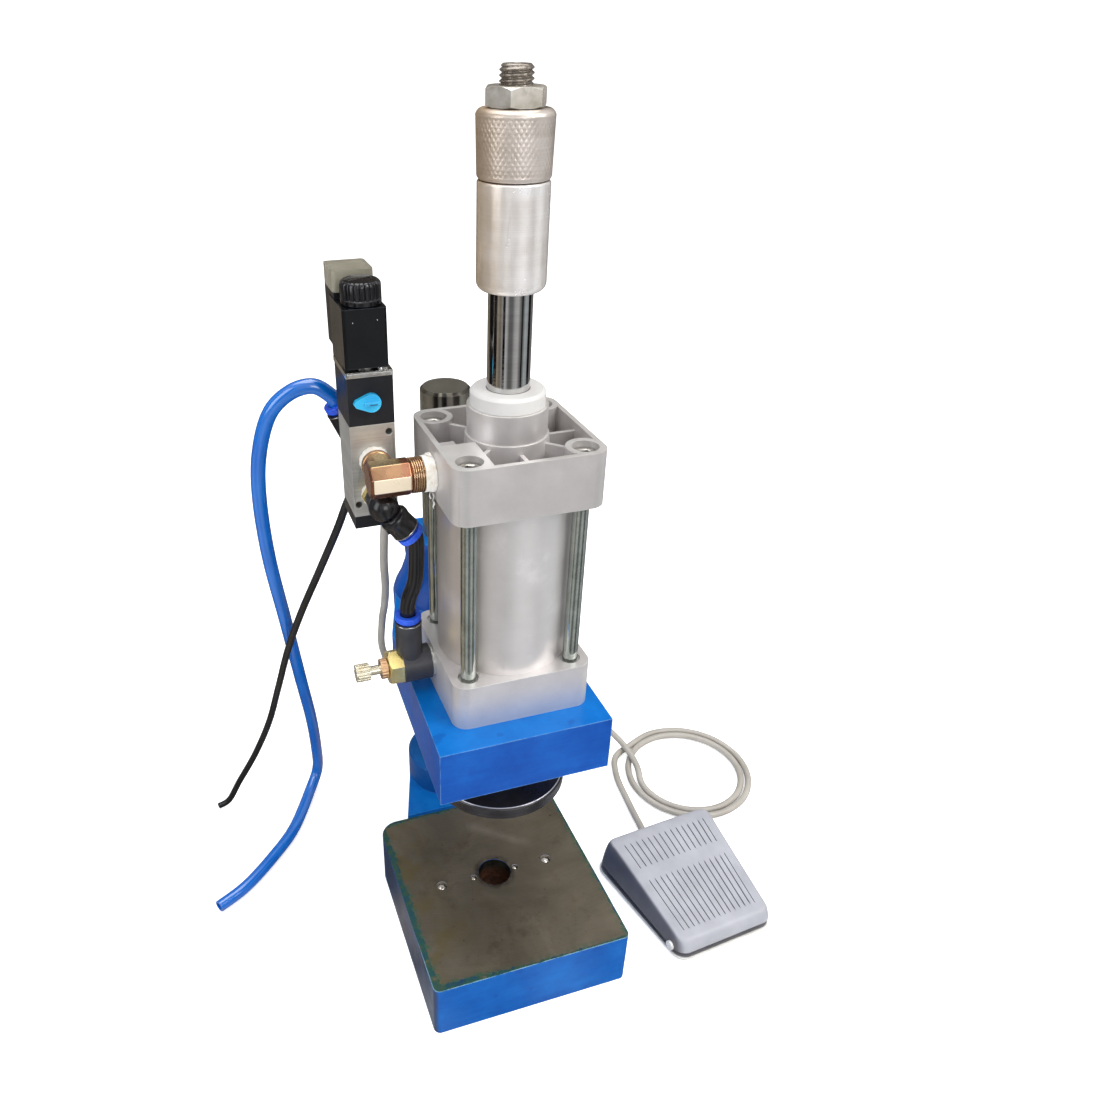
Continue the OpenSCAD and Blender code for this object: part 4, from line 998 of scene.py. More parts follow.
def thread_rings(bottom, top, sides, rise=0.16):
    """helical thread as rings, run out at the bottom and chamfered at the top"""
    rings = []
    z = bottom
    while z <= top + 1e-6:
        points = []
        for k in range(sides):
            turn = k / sides
            wave = abs(2 * (((z - bottom) / STUD_PITCH - turn) % 1.0) - 1)
            crest = min(1.0, max(0.0, (wave - 0.12) / 0.72))
            radius = STUD_RADIUS - STUD_DEPTH * (1 - crest)
            radius = min(radius, STUD_RADIUS - STUD_CHAMFER + (top - z))
            if z - bottom < 0.5:
                radius = min(radius, STUD_RADIUS + (z - bottom) * 1.2 - 0.3)
            points.append(polar(radius, TAU * turn, z))
        rings.append(points)
        z += rise
    return rings


def rod_and_stud():
    sides = 96
    bottom, shoulder = ROD_BOTTOM, ROD_SHOULDER
    thread = corners("lock_nut")[0].z - 6
    # (radius, z) up from inside the hollow foot
    profile = [(4.02, bottom + 20), (4.02, bottom + 0.6), (4.5, bottom), (9, bottom),
               (9.6, bottom + 0.35), (10, bottom + 1)]
    profile += [(10, bottom + 1 + (shoulder - bottom - 1) * i / 11) for i in range(1, 12)]
    profile += [(9.0, shoulder + 1), (6.6, shoulder + 1)]
    profile += [(6.2, shoulder + 1 + (thread - 0.4 - shoulder - 1) * i / 3) for i in range(4)]
    tip = [(4.6, ROD_TOP), (2.4, ROD_TOP - 0.02), (1.6, ROD_TOP - 0.9)]
    rings = [ring(r, z, sides) for r, z in profile]
    rings += thread_rings(thread, ROD_TOP, sides)
    rings += [ring(r, z, sides) for r, z in tip]
    obj = new_object("rod_and_stud", *loft(rings))
    for look in ("rod", "stud"):
        obj.data.materials.append(MATERIALS[look])
    for polygon in obj.data.polygons:
        polygon.material_index = 1 if polygon.center.z > (shoulder + 1.2) * MM else 0
    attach(obj, "ram")
    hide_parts("piston_rod")


def knurled_stop_nut():
    """slightly flared nut, crossed knurling worn unevenly"""
    teeth = 44
    sides = teeth * 8
    bottom, top = (corner.z for corner in corners("knurled_nut"))
    radius_bottom, radius_top = 15.5, 16.2
    half_lead = 3.4  # height over which the knurl moves by one tooth
    crest = 0.62
    start, end = bottom + 1.5, top - 2.6
    below = [(7.0, bottom + 3), (7.0, bottom + 0.5), (7.5, bottom), (14.2, bottom),
             (14.9, bottom + 0.25), (15.35, bottom + 0.9)]
    above = [(radius_top, top - 2.2), (15.7, top - 1.2), (14.9, top - 0.4), (14.2, top - 0.02),
             (12.0, top), (7.6, top), (7.0, top - 0.6), (7.0, top - 4)]
    rings = [ring(r, z, sides) for r, z in below]
    rows = int((end - start) / 0.3)
    for i in range(rows + 1):
        z = start + (end - start) * i / rows
        outer = radius_bottom + (radius_top - radius_bottom) * (z - bottom) / (top - bottom)
        fade = min(1.0, (z - start) / 0.8, (end - z) / 0.8)
        points = []
        for k in range(sides):
            turn = k / sides
            angle = TAU * turn
            rising = (teeth * turn + (z - bottom) / half_lead) % 1.0
            falling = (teeth * turn - (z - bottom) / half_lead) % 1.0
            height = min(abs(2 * rising - 1), abs(2 * falling - 1), crest)
            kept = 0.62 + 0.5 * noise.noise(
                Vector((math.cos(angle) * 1.6, math.sin(angle) * 1.6, z * 0.11)))
            cut = 0.34 * max(0.0, crest - height) * fade * max(0.25, min(1.0, kept))
            points.append(polar(outer + 0.06 - cut, angle, z))
        rings.append(points)
    rings += [ring(r, z, sides) for r, z in above]
    piece("knurled_stop_nut", loft(rings, "ring"), "adjuster", "knurl",
          ("knurled_nut",))


rod_and_stud()
knurled_stop_nut()

# ------------------------------------------------------- hoses and cables
HOSE_RADIUS = 4.0


def cable_start(offset):
    """a cable's first points, straight down under the coil"""
    return [(VALVE_X + offset, VALVE_FRONT + 36, COIL_BOTTOM - drop) for drop in (4, 9, 16)]


def floor_coil():
    """coil of cable on the floor round a centre to the right of the machine"""
    points = []
    for degrees in range(155, 846, 30):
        radius = 38.8 + (degrees - 135) / 360 * 5.7
        z = 6.6 if degrees < 170 else (3.4 if degrees < 200 else 2.5)
        points.append(polar(radius, math.radians(degrees), z, centre=(187.5, 76)))
    return points


HOSE_POINTS = [INLET + INLET_WAY * d for d in (5, 14, 22.6, 25.5)] + [
    (-80, 62.5, 353), (-92, 65, 350), (-103, 69, 338), (-110, 74, 314), (-112, 80, 285),
    (-110, 90, 243), (-104, 103, 192), (-97, 119, 132), (-91, 136, 82), (-88, 150, 40),
    (-88, 157, 15), (-95, 148, 5.6), (-114, 112, 4.15), (-133, 89, 4.1), (-154, 69, 4.1),
    (-173, 57.6, 4.1)]
POWER_POINTS = cable_start(-3.65) + [
    (-60, 60, 347), (-53, 65, 334), (-50, 67, 318), (-55, 64, 303), (-66, 60, 291),
    (-74, 63, 270), (-84, 70, 243), (-96, 84, 206), (-105, 97, 172), (-113, 110, 134),
    (-121, 124, 96), (-133, 138, 58), (-147, 148, 26), (-156, 151, 8), (-164, 152, 3)]
SWITCH_POINTS = cable_start(1.65) + [
    (-54, 58, 346), (-47, 60, 331), (-44.5, 61, 312), (-46, 60, 288), (-48, 62, 262),
    (-48, 66, 242), (-46, 74, 222), (-44, 88, 200), (-42, 108, 172), (-37, 132, 132),
    (-20, 152, 84), (16, 166, 40), (70, 172, 14), (114, 166, 8.4), (142, 146, 8.4),
    (151, 120, 8.4)] + floor_coil() + [
    (142, 108, 2.5), (133.6, 88, 2.5), (130.4, 66, 2.6), (128.4, 50, 3), (126.6, 37, 4.6),
    (125.6, 29, 5), (126.3, 21.5, 5), (127, 13.5, 5)]
BRIDGE_POINTS = [SWIVEL + SWIVEL_WAY * d for d in (6, 14, 22.6, 26)] + [
    (CONTROLLER.x + 4.4, CONTROLLER.y - 1, CONTROLLER_MOUTH + 26),
    (CONTROLLER.x + 1, CONTROLLER.y, CONTROLLER_MOUTH + 14)] + [
    (CONTROLLER.x, CONTROLLER.y, CONTROLLER_MOUTH + rise) for rise in (8, 4.6, -4, -12)]


def line(name, points, radius, node, look, sides, bore=0.0, step=2.0, to_floor=True):
    """hose or cable; one that falls to the floor stays where it lies, unattached, the others ride on
    the head
    """
    path = resample(catmull(points, 24), step)
    obj = new_object(name, *sweep(path, radius, sides, bore))
    obj.data.materials.append(MATERIALS[look])
    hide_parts(node)
    if to_floor:
        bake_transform(obj)
    else:
        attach(obj, "head")


line("supply_hose", HOSE_POINTS, HOSE_RADIUS, "air_hose", "hose_blue", sides=28,
     bore=0.66)
line("supply_cable", POWER_POINTS, 2.2, "power_cable", "cable_black", sides=18)
line("switch_cable", SWITCH_POINTS, 2.4, "pedal_cable", "cable_grey", sides=18)
line("bridge_tube", BRIDGE_POINTS, HOSE_RADIUS, "link_tube", "black_gloss",
     sides=28, bore=0.66, step=1.6, to_floor=False)

# -------------------------------------------------------------- foot switch
ON_PEDAL = Matrix.Translation(Vector((130.4, -25.5, 0))) @ Matrix.Rotation(math.radians(5), 4, "Z")
HALF_LENGTH, HALF_BACK, HALF_FRONT = 45.0, 44.5, 36.5
HALF_MEAN = (HALF_BACK + HALF_FRONT) / 2
CORNER = 9.0
# distances from the outline, closer where the rim curves down
RIM_STEPS = [0, 0.2, 0.5, 0.85, 1.25, 1.7, 2.2, 2.8, 3.5, 4.3, 5.2, 6.2, 7.4, CORNER]
# side view of the tread: (distance back from the middle, height)
TREAD = [(-47, 11.6), (-39, 14.6), (29, 26.4), (40, 27.2), (47, 24.6)]
RIM_BOTTOM = 6.6
GROOVES, GROOVE_PITCH = 14, 60 / 14
GROOVE_GROUPS = ((-35.0, 3.5), (12.5, 33.0))  # where each group starts and ends


def grid_steps(length, count):
    inner = [CORNER + (length - 2 * CORNER) * (i + 1) / count for i in range(count - 1)]
    return RIM_STEPS + inner + [length - step for step in reversed(RIM_STEPS)]


def tread_height(v):
    """height of the side view, averaged over 10 mm"""
    def raw(v):
        for (a, z_a), (b, z_b) in zip(TREAD, TREAD[1:]):
            if v <= b:
                return z_a + (z_b - z_a) * (v - a) / (b - a)
    return sum(raw(max(-47, min(47, v + 5 * (i - 4) / 4))) for i in range(9)) / 9


def round_corner(u, v):
    """grid point moved into the rounded outline, and its distance from the outline"""
    over_u, over_v = abs(u) - HALF_MEAN + CORNER, abs(v) - HALF_LENGTH + CORNER
    if over_u <= 0 or over_v <= 0:
        return u, v, min(HALF_MEAN - abs(u), HALF_LENGTH - abs(v))
    a, b = over_u / CORNER, over_v / CORNER
    x, y = a * math.sqrt(1 - b * b / 2), b * math.sqrt(1 - a * a / 2)
    return (math.copysign(HALF_MEAN - CORNER + CORNER * x, u),
            math.copysign(HALF_LENGTH - CORNER + CORNER * y, v),
            CORNER * (1 - math.hypot(x, y)))


def groove_at(u, v):
    """depth of the moulded grooves and the groove mark at a grid point"""
    depth = mark = 0.0
    for low, high in GROOVE_GROUPS:
        if low < v < high and abs(u) < GROOVES * GROOVE_PITCH / 2:
            phase = (u / GROOVE_PITCH + 0.5 + 50) % 1.0 - 0.5
            off = abs(phase) * GROOVE_PITCH
            across = max(0.0, 1 - (off / 0.5) ** 2) if off < 0.5 else 0.0
            ends = max(0.0, min(1.0, (v - low) / 1.2, (high - v) / 1.2))
            depth = 0.7 * math.sqrt(across) * ends
            mark = across * ends
    return depth, mark


def foot_treadle():
    columns = grid_steps(2 * HALF_MEAN, 220)
    rows = grid_steps(2 * HALF_LENGTH, 62)
    verts, faces, grooves = [], [], []
    for row in rows:
        for column in columns:
            grid_u, grid_v = column - HALF_MEAN, row - HALF_LENGTH
            u, v, inside = round_corner(grid_u, grid_v)
            width = HALF_FRONT + (HALF_BACK - HALF_FRONT) * (v + HALF_LENGTH) / (2 * HALF_LENGTH)
            rise = 1 - (1 - min(inside / 5.6, 1.0)) ** 3.0
            depth, mark = groove_at(grid_u, v)
            z = RIM_BOTTOM + (tread_height(v) - RIM_BOTTOM) * rise - depth
            z += 0.5 * (1 - (grid_u / HALF_MEAN) ** 2) * rise  # slight crown
            verts.append(ON_PEDAL @ Vector((u * width / HALF_MEAN, v, min(z, 27.25))))
            grooves.append(mark)
    count = len(columns)
    to_pedal = ON_PEDAL.inverted()
    for j in range(len(rows) - 1):
        for i in range(count - 1):
            a = j * count + i
            mid = to_pedal @ ((verts[a] + verts[a + count + 1]) / 2)
            # opening at the back for the cable
            if abs(mid.x) < 4.2 and mid.y > HALF_LENGTH - 4 and mid.z < 13.0:
                continue
            faces.append((a, a + 1, a + count + 1, a + count))
    obj = new_object("foot_treadle", verts, faces)
    obj.data.attributes.new("groove", "FLOAT", "POINT").data.foreach_set("value", grooves)
    wall = solidify(obj, "wall", 1.8)
    wall.use_even_offset = False
    put(obj, "treadle", "pedal_top", ("pedal_cover",))


def foot_rim():
    """light bead that runs round the foot plate under the treadle"""
    bead, sides = 0.6, 10
    radius = CORNER + 0.3
    back, end = HALF_BACK - CORNER, HALF_LENGTH - CORNER
    front = HALF_FRONT - CORNER
    outline = []
    for x, y, start in ((front, -end, -90), (back, end, 0), (-back, end, 90),
                        (-front, -end, 180)):
        for i in range(9):
            angle = math.radians(start + 90 * i / 8)
            outline.append(ON_PEDAL @ Vector(polar(radius, angle, 1.62, centre=(x, y))))
    outline.append(outline[0])
    path = resample(outline, 1.2)
    if (path[-1] - path[0]).length < 0.8:
        path = path[:-1]
    up = Vector((0, 0, 1))
    rings = []
    for i, point in enumerate(path):
        side = (path[(i + 1) % len(path)] - path[i - 1]).normalized().cross(up)
        angles = [TAU * j / sides for j in range(sides)]
        rings.append([point + up * bead * math.cos(a) + side * bead * math.sin(a)
                      for a in angles])
    piece("foot_rim", loft(rings, "ring"), "frame", "rim")


def return_spring():
    """coil spring under the treadle"""
    foot = ON_PEDAL @ Vector((20, 12, 4.02))
    coils, steps = 5, 180
    points = [foot + Vector(polar(2.5, TAU * coils * i / steps, 0.45 + 14.9 * i / steps))
              for i in range(steps + 1)]
    obj = piece("return_spring", sweep(points, 0.4, 10), "frame", "zinc",
                ("pedal_spring",))
    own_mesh(obj)


foot_treadle()
foot_rim()
return_spring()

# ------------------------------------------------------------- port elbow
AT_PORT = aim(PORT, (1, 0, 0))
AT_BRANCH = aim((VALVE_X, PORT.y, PORT.z), (0, 1, 0))
AT_STUD = aim((VALVE_X, VALVE_FRONT, VALVE_BOTTOM + 12), (0, 1, 0))
HALF_FLAT = math.radians(22.5)  # turns an eight-sided bar flat side up


def port_elbow():
    """eight-sided bar to the left of the port, with a branch back to the valve"""
    bar = lathe([(7.6, -31.2), (8.9, -30.0), (8.9, -12.2), (8.2, -11.4), (7.4, -11.3)],
                8, AT_PORT, turn=HALF_FLAT)
    branch = lathe([(6.6, 2.0), (8.3, 2.4), (8.3, REACH - 12.4), (7.6, REACH - 11.4)],
                   8, AT_BRANCH, turn=HALF_FLAT)
    neck = [(5.0, -13.0), (6.9, -12.6), (7.15, -11.9), (7.15, -8.4), (6.6, -7.8), (6.3, -7.6),
            (6.3, 4.0), (5.2, 4.4)]
    neck = lathe([(r, REACH + z) for r, z in neck], 72, AT_BRANCH)
    obj = new_object("port_elbow", *joined(bar, branch, neck))
    round_edges(obj, 0.55, angle=30)
    weigh_normals(obj)
    put(obj, "head", "copper", ("brass_elbow",))

    thread = [(6.0, -11.9)]
    for i in range(6):
        z = -11.35 + i * 1.06
        thread += [(7.75, z), (7.85, z + 0.1), (8.55, z + 0.42), (8.55, z + 0.58),
                   (7.75, z + 0.9)]
    thread += [(7.7, -4.6), (8.1, -4.4), (8.1, 7.0), (6.0, 7.2)]
    piece("elbow_thread", lathe(thread, 96, AT_PORT), "head", "thread_brass")

    bushing = [(6.5, -7.7), (7.0, -7.5), (7.35, -7.0), (7.35, -4.9), (7.0, -4.2), (6.5, -4.1)]
    bushing = lathe([(r, REACH + z) for r, z in bushing], 72, AT_BRANCH, "ring")
    piece("valve_bushing", bushing, "head", "thread_brass")


def tape_turn(place, radius, low, high, end, turn, seed, lift, sides):
    """one turn of tape between two heights, its edges torn and wavy"""
    rows = 7
    rings = []
    for j in range(rows):
        points = []
        for k in range(sides):
            angle = TAU * k / sides
            x, y = math.cos(angle), math.sin(angle)
            wave = ragged(x * 2.2 + seed, y * 2.2, turn * 3.1, 1.6)
            tear = ragged(x * 7 + seed, y * 7, turn * 5.3)
            bottom = low + 0.35 * wave
            top = min(high + 0.75 * wave + 0.35 * tear, end - 0.02)
            z = bottom + (top - bottom) * (j / (rows - 1))
            out = (radius + 0.22 + 0.16 * turn * lift * (0.6 + 0.7 * wave)
                   + 0.18 * ragged(x * 4, y * 4, z * 0.9 + seed, 1.5))
            if j in (0, rows - 1):
                out += 0.12 * tear - 0.05
            points.append(place @ Vector((out * x, out * y, z)))
        rings.append(points)
    return loft(rings, "open")


def tape_wrap(name, place, radius, start, end, seed, lift, replaces=()):
    """five overlapping turns of thin tape over a plain core"""
    turns, sides = 5, 150
    parts = [lathe([(radius + 0.02, start + 0.1), (radius + 0.42, start + 0.3),
                    (radius + 0.5, end - 0.25), (radius + 0.02, end - 0.04)],
                   sides, place, "ring")]
    for turn in range(turns):
        low = start + (end - start) * turn / turns * 0.9
        high = low + (end - start) * (0.42 + 0.1 * math.sin(seed + turn * 2.1))
        parts.append(tape_turn(place, radius, low, min(high, end), end, turn, seed, lift, sides))
    obj = new_object(name, *joined(*parts))
    solidify(obj, "film", 0.12, offset=0)
    put(obj, "head", "tape", replaces)


def tape_strand(name, offsets, half_width, seed):
    """loose curl of torn tape through points given from the port"""
    path = resample(catmull([PORT + Vector(offset) for offset in offsets], 10), 0.5)
    count = len(path)
    start_side = Vector((0.25, -0.9, 0.1)).normalized()
    verts, faces = [], []
    for i, point in enumerate(path):
        t = i / (count - 1)
        way = (path[min(i + 1, count - 1)] - path[max(i - 1, 0)]).normalized()
        side = (start_side - way * start_side.dot(way)).normalized()
        side = Matrix.Rotation(2.4 * t + 0.5 * math.sin(9 * t + seed), 3, way) @ side
        width = half_width * (0.35 + 0.65 * abs(math.sin(6.0 * t + seed))) * (1 - 0.7 * t ** 3)
        cup = way.cross(side) * width * 0.35
        verts += [point + side * width, point + cup, point - side * width]
    for i in range(count - 1):
        a = i * 3
        faces += [(a, a + 1, a + 4, a + 3), (a + 1, a + 2, a + 5, a + 4)]
    obj = new_object(name, verts, faces)
    solidify(obj, "film", 0.2, offset=0)
    put(obj, "head", "tape")


port_elbow()
tape_wrap("tape_port", AT_PORT, 8.25, -5.2, -0.06, seed=3.0, lift=1.3,
          replaces=("thread_tape",))
tape_wrap("tape_valve", AT_BRANCH, 6.5, REACH - 3.9, REACH - 0.06, seed=7.0, lift=1.2)
tape_wrap("tape_stud", AT_STUD, 6.45, -1.56, -0.05, seed=12.0, lift=0.9)
tape_strand("tape_strand_a",
            [(-1.4, -4.6, -8.4), (-1.0, -5.0, -10.2), (-1.6, -5.3, -12.0),
             (-0.9, -5.2, -13.6), (-1.5, -5.0, -15.6), (-1.0, -4.8, -16.6)],
            half_width=0.55, seed=1.0)
tape_strand("tape_strand_b", [(-2.6, -4.2, -8.0), (-3.0, -4.6, -9.6), (-2.5, -5.0, -11.2)],
            half_width=0.5, seed=2.3)
tape_strand("tape_strand_c",
            [(-3.2, 1.6, 8.4), (-2.8, 0.4, 9.9), (-1.8, -1.4, 10.3), (-0.9, -3.0, 9.6)],
            half_width=0.8, seed=4.0)


# ---------------------------------------------------------- push fittings
AT_ARM = aim(SWIVEL, SWIVEL_WAY)


def swivel_fitting():
    """black swivel elbow under the port elbow"""
    seat, ball = 4.04, 7.35
    length = VALVE_FRONT - 5.65 - SWIVEL.y
    barrel = lathe([(4.3, 0.0), (6.2, 0.05), (6.6, 0.5), (6.6, 2.6), (6.1, 3.0), (6.1, 3.6),
                    (6.6, 4.0), (6.6, length - 0.5), (6.1, length), (4.3, length)],
                   72, aim(SWIVEL, (0, 1, 0)), "ring")
    profile = [(0.4, -7.34)]
    profile += [(ball * math.sin(a), -ball * math.cos(a))
                for a in [math.pi * i / 18 for i in range(1, 15)]]
    profile += [(5.75, 5.6), (5.75, 6.3), (6.2, 6.7), (7.0, 7.0), (7.35, 7.6), (7.4, 8.4),
                (7.4, 9.4), (7.1, 10.0), (7.05, 14.0), (7.15, 16.6), (7.15, 17.4), (6.8, 17.95),
                (5.62, 18.0), (5.6, 14.2), (seat, 14.0), (seat, 5.0), (0.4, 4.8)]
    arm = lathe(profile, 72, AT_ARM)
    lug = lathe([(0.6, 5.0), (1.9, 5.0), (2.1, 5.4), (2.1, 9.6), (1.7, 10.0), (0.9, 10.0),
                 (0.9, 9.2), (0.3, 9.1)], 36, aim(SWIVEL + Vector((0, 0, -5)), (1, 0, 0)))
    tab = block(SWIVEL + Vector((4.5, -2.2, -6.8)), SWIVEL + Vector((8.2, 2.4, -2.2)), 0.7)
    piece("swivel_fitting", joined(barrel, arm, lug, tab), "head",
          "black_satin", ("swivel_elbow",))
    # raised bar moulded on the arm
    verts, faces = block((-2.4, -7.55, 11.4), (2.4, -6.6, 12.5), 0.3)
    piece("swivel_rib", ([AT_ARM @ p for p in verts], faces), "head",
          "black_satin")


def mouth_band(name, place, z, radius):
    """thin plated band round the mouth of a push fitting"""
    profile = [(-0.5, -0.9), (0.06, -0.86), (0.14, -0.7), (0.14, -0.45), (0.04, -0.3),
               (-0.5, -0.28)]
    band = lathe([(radius + out, z + up) for out, up in profile], 96, place, "ring")
    piece(name, band, "head", "bright")


swivel_fitting()
mouth_band("swivel_band", AT_ARM, 17.8, 7.15)
mouth_band("controller_band", aim((CONTROLLER.x, CONTROLLER.y, CONTROLLER_MOUTH), (0, 0, 1)),
           0.0, 7.0)
mouth_band("inlet_band", aim(INLET, INLET_WAY), 17.9, 7.2)


# ------------------------------------------------------------ valve details
def bracket_screw():
    """domed screw with a cross recess"""
    radius, height, sides, turn = 2.2, 1.5, 48, 0.3

    def cross(scale):
        return lambda angle: scale * radius * (
            0.46 if abs(math.cos(2 * (angle + turn))) > 0.93 else 0.17)

    # shares of the radius and of the height
    dome = [(1, 0), (1, 0.45), (0.9, 0.75), (0.62, 0.95), (0.5, 1)]
    rings = [ring(radius * r, height * z, sides) for r, z in dome]
    rings.append(ring(cross(1.0), height, sides))
    rings.append(ring(cross(0.8), height - 0.55 * radius * 0.6, sides))
    place = aim((VALVE_X + 6.6, VALVE_FRONT + 1.9, COIL_BOTTOM + 0.1), (0, -0.25, 1))
    verts, faces = loft(rings)
    piece("bracket_screw", ([place @ Vector(p) for p in verts], faces), "head",
          "bright")


def coil_dots():
    """two small bright dots on the front of the coil"""
    low, high = corners("coil_housing")
    profile = [(0.1, 0.2), (0.24, 0.16), (0.32, 0.04), (0.32, -0.4), (0.1, -0.4)]
    for i, x in enumerate((-5.6, 5.6)):
        place = aim(((low.x + high.x) / 2 + x, low.y, high.z - 6.0 + 0.6 * i), (0, -1, 0))
        piece("coil_dot_%d" % i, lathe(profile, 24, place), "head", "bright")


def bracket_lip():
    """folded rim of the bracket plate, slightly wavy"""
    low, high = corners("coil_bracket")
    fold = [(0.0, 0.0), (-0.35, 0.05), (-0.55, 0.35), (-0.55, 1.5), (-0.3, 1.75), (0.0, 1.7)]
    columns, rows = 46, len(fold)
    verts, faces = [], []
    for i in range(columns):
        x = low.x + 0.4 + (high.x - low.x - 0.8) * i / (columns - 1)
        wave = 0.22 * ragged(x * 0.45, 1.3, 0.2)
        for y, z in fold:
            verts.append((x, low.y + y + wave * 0.5,
                          low.z + 0.55 + z + (wave if z > 1 else 0)))
    for i in range(columns - 1):
        for j in range(rows - 1):
            a = i * rows + j
            faces.append((a, a + 1, a + rows + 1, a + rows))
    obj = new_object("bracket_lip", verts, faces)
    solidify(obj, "sheet", 0.35)
    put(obj, "head", "bright")


bracket_screw()
coil_dots()
bracket_lip()


# ------------------------------------------------- nuts, grub tips, coil cap
def tie_socket_nuts():
    """finely lobed nuts with a hexagon socket, one on each tie rod"""
    sides, spacing = 96, 28.0
    bottom = corners("tie_rod_nuts")[0].z
    top = COVER_TOP - 3.0

    def lobed(angle):
        return 5.9 * (1 + 0.028 * math.cos(24 * angle))

    def hexagon(radius, turn):
        return lambda angle: (radius * math.cos(math.pi / 6)
                              / math.cos((angle + turn) % (math.pi / 3) - math.pi / 6))

    parts = []
    for x in (-1, 1):
        for y in (-1, 1):
            turn = 0.35 * x + 0.2 * y
            profile = [(5.0, bottom), (lobed, bottom + 0.4), (lobed, top - 1.0),
                       (5.5, top - 0.2), (5.1, top), (3.9, top - 0.05),
                       (hexagon(3.5, turn), top - 0.5), (hexagon(3.4, turn), top - 3.2),
                       (0.6, top - 3.8)]
            parts.append(loft([ring(radius, z, sides, (x * spacing, y * spacing))
                               for radius, z in profile]))
    piece("tie_socket_nuts", joined(*parts), "head", "zinc", ("tie_rod_nuts",))


def grub_tips():
    """steel tips that stand in the tapped holes"""
    parts = []
    z = TABLE - 1.1
    for side in (-1, 1):
        for x, hole in TAPS:
            radius = hole - 0.5
            profile = [(0.2, z)]
            for i in range(1, 9):
                angle = math.pi / 2 * i / 8
                profile.append((radius * math.sin(angle),
                                z - radius * 0.8 * (1 - math.cos(angle))))
            profile += [(radius, z - 5), (radius * 0.9, z - 5.4)]
            place = Matrix.Translation(Vector((side * x - 0.35, 0.25, 0)))
            parts.append(lathe(profile, 48, place))
    piece("grub_tips", joined(*parts), "frame", "nut")


def coil_cap():
    """fluted cap on the coil, with a bent rib on top"""
    x, y, _ = middle("coil_nut")
    bottom = corners("coil_nut")[0].z
    flutes = 24
    # radius, height, depth of the flutes
    stations = [
        (5.4, 6.0, 0), (5.4, 0.0, 0), (8.7, 0.0, 0), (9.35, 0.5, 0), (9.4, 2.4, 0),
        (9.1, 2.7, 0), (9.35, 3.0, 0.7), (9.35, 8.6, 0.75), (9.2, 9.3, 0.9), (8.7, 10.0, 0.5),
        (8.1, 10.5, 0), (7.7, 10.55, 0), (7.4, 10.3, 0), (4.0, 10.45, 0), (0.4, 10.5, 0)]

    def fluted(radius, depth):
        return lambda angle: radius - depth * max(0.0, math.cos(flutes * angle)) ** 3

    rings = [ring(fluted(radius, depth), bottom + z, flutes * 12, (x, y))
             for radius, z, depth in stations]
    piece("coil_cap", loft(rings), "head", "black_gloss", ("coil_nut",))

    place = Matrix.Translation(Vector((x, y, bottom + 10.25)))
    place = place @ Matrix.Rotation(math.radians(24), 4, "Z")
    verts, faces = block((-6.2, -0.35, 0), (6.2, 0.35, 0.5), 0.15, segments=2)
    bent = [place @ Vector((p.x, p.y + 0.035 * p.x * p.x - 0.6, p.z)) for p in verts]
    piece("coil_cap_rib", (bent, faces), "head", "black_satin")


def override_slot():
    """dark bar on the front of the manual override"""
    low, high = corners("manual_override")
    x, z = low.x * 0.45 + high.x * 0.55, (low.z + high.z) / 2 - 0.5
    verts, faces = block((0.2, low.y - 0.06, -0.28), (3.9, low.y + 0.4, 0.28), 0.1, segments=2)
    piece("override_slot", ([Vector((p.x + x, p.y, p.z + z)) for p in verts], faces),
          "override", "slot_blue")


tie_socket_nuts()
grub_tips()
coil_cap()
override_slot()

# ------------------------------------------------------------------- stage
FLOOR_LIFT = 0.55  # glow of the floor to the camera
WARM, COOL, PLAIN = (1.0, 0.86, 0.68), (0.9, 0.97, 1.0), (1.0, 1.0, 1.0)
# floor as polished metal sees it: bearing from the ram axis in degrees, brightness, tint
BEARINGS = [
    (0, 0.25, PLAIN), (30, 0.20, PLAIN), (62, 0.12, WARM), (82, 0.06, WARM), (96, 0.10, WARM),
    (111, 0.34, WARM), (126, 0.06, WARM), (148, 0.10, WARM), (166, 0.50, WARM),
    (182, 0.40, WARM), (200, 0.20, WARM), (220, 0.54, PLAIN), (233, 0.58, PLAIN),
    (246, 0.16, PLAIN), (262, 0.17, PLAIN), (276, 0.50, PLAIN), (291, 0.58, PLAIN),
    (305, 0.18, PLAIN), (318, 0.07, PLAIN), (334, 0.55, COOL), (348, 0.46, COOL)]


def make_floor_paper():
    """white paper that shows bands of light and dark to glossy rays"""
    mat = Material("floor_paper")
    colour = mat.noise(3, detail=3, rough=0.5).ramp((0.3, (249, 249, 250)), (0.7, (252, 252, 252)))
    rays = mat.node("ShaderNodeLightPath")
    mat.set(color=colour, rough=0.75, spec=0.1, emission=(1.0, 1.0, 1.0),
            emission_strength=mat.out(rays, "Is Camera Ray") * FLOOR_LIFT)
    x, y, _ = mat.xyz()
    bands = mat.bearing(x, y).ramp(
        *[(angle / 360, tuple(light * c for c in tint)) for angle, light, tint in BEARINGS],
        linear=True)
    glow = mat.node("ShaderNodeEmission")
    mat.feed(glow.inputs[0], bands)
    chooser = mat.node("ShaderNodeMixShader")
    mat.feed(chooser.inputs[0], mat.out(rays, "Is Glossy Ray"))
    mat.feed(chooser.inputs[1], mat.out(mat.surface))
    mat.feed(chooser.inputs[2], mat.out(glow))
    mat.feed(mat.output.inputs[0], mat.out(chooser))
    return mat.material


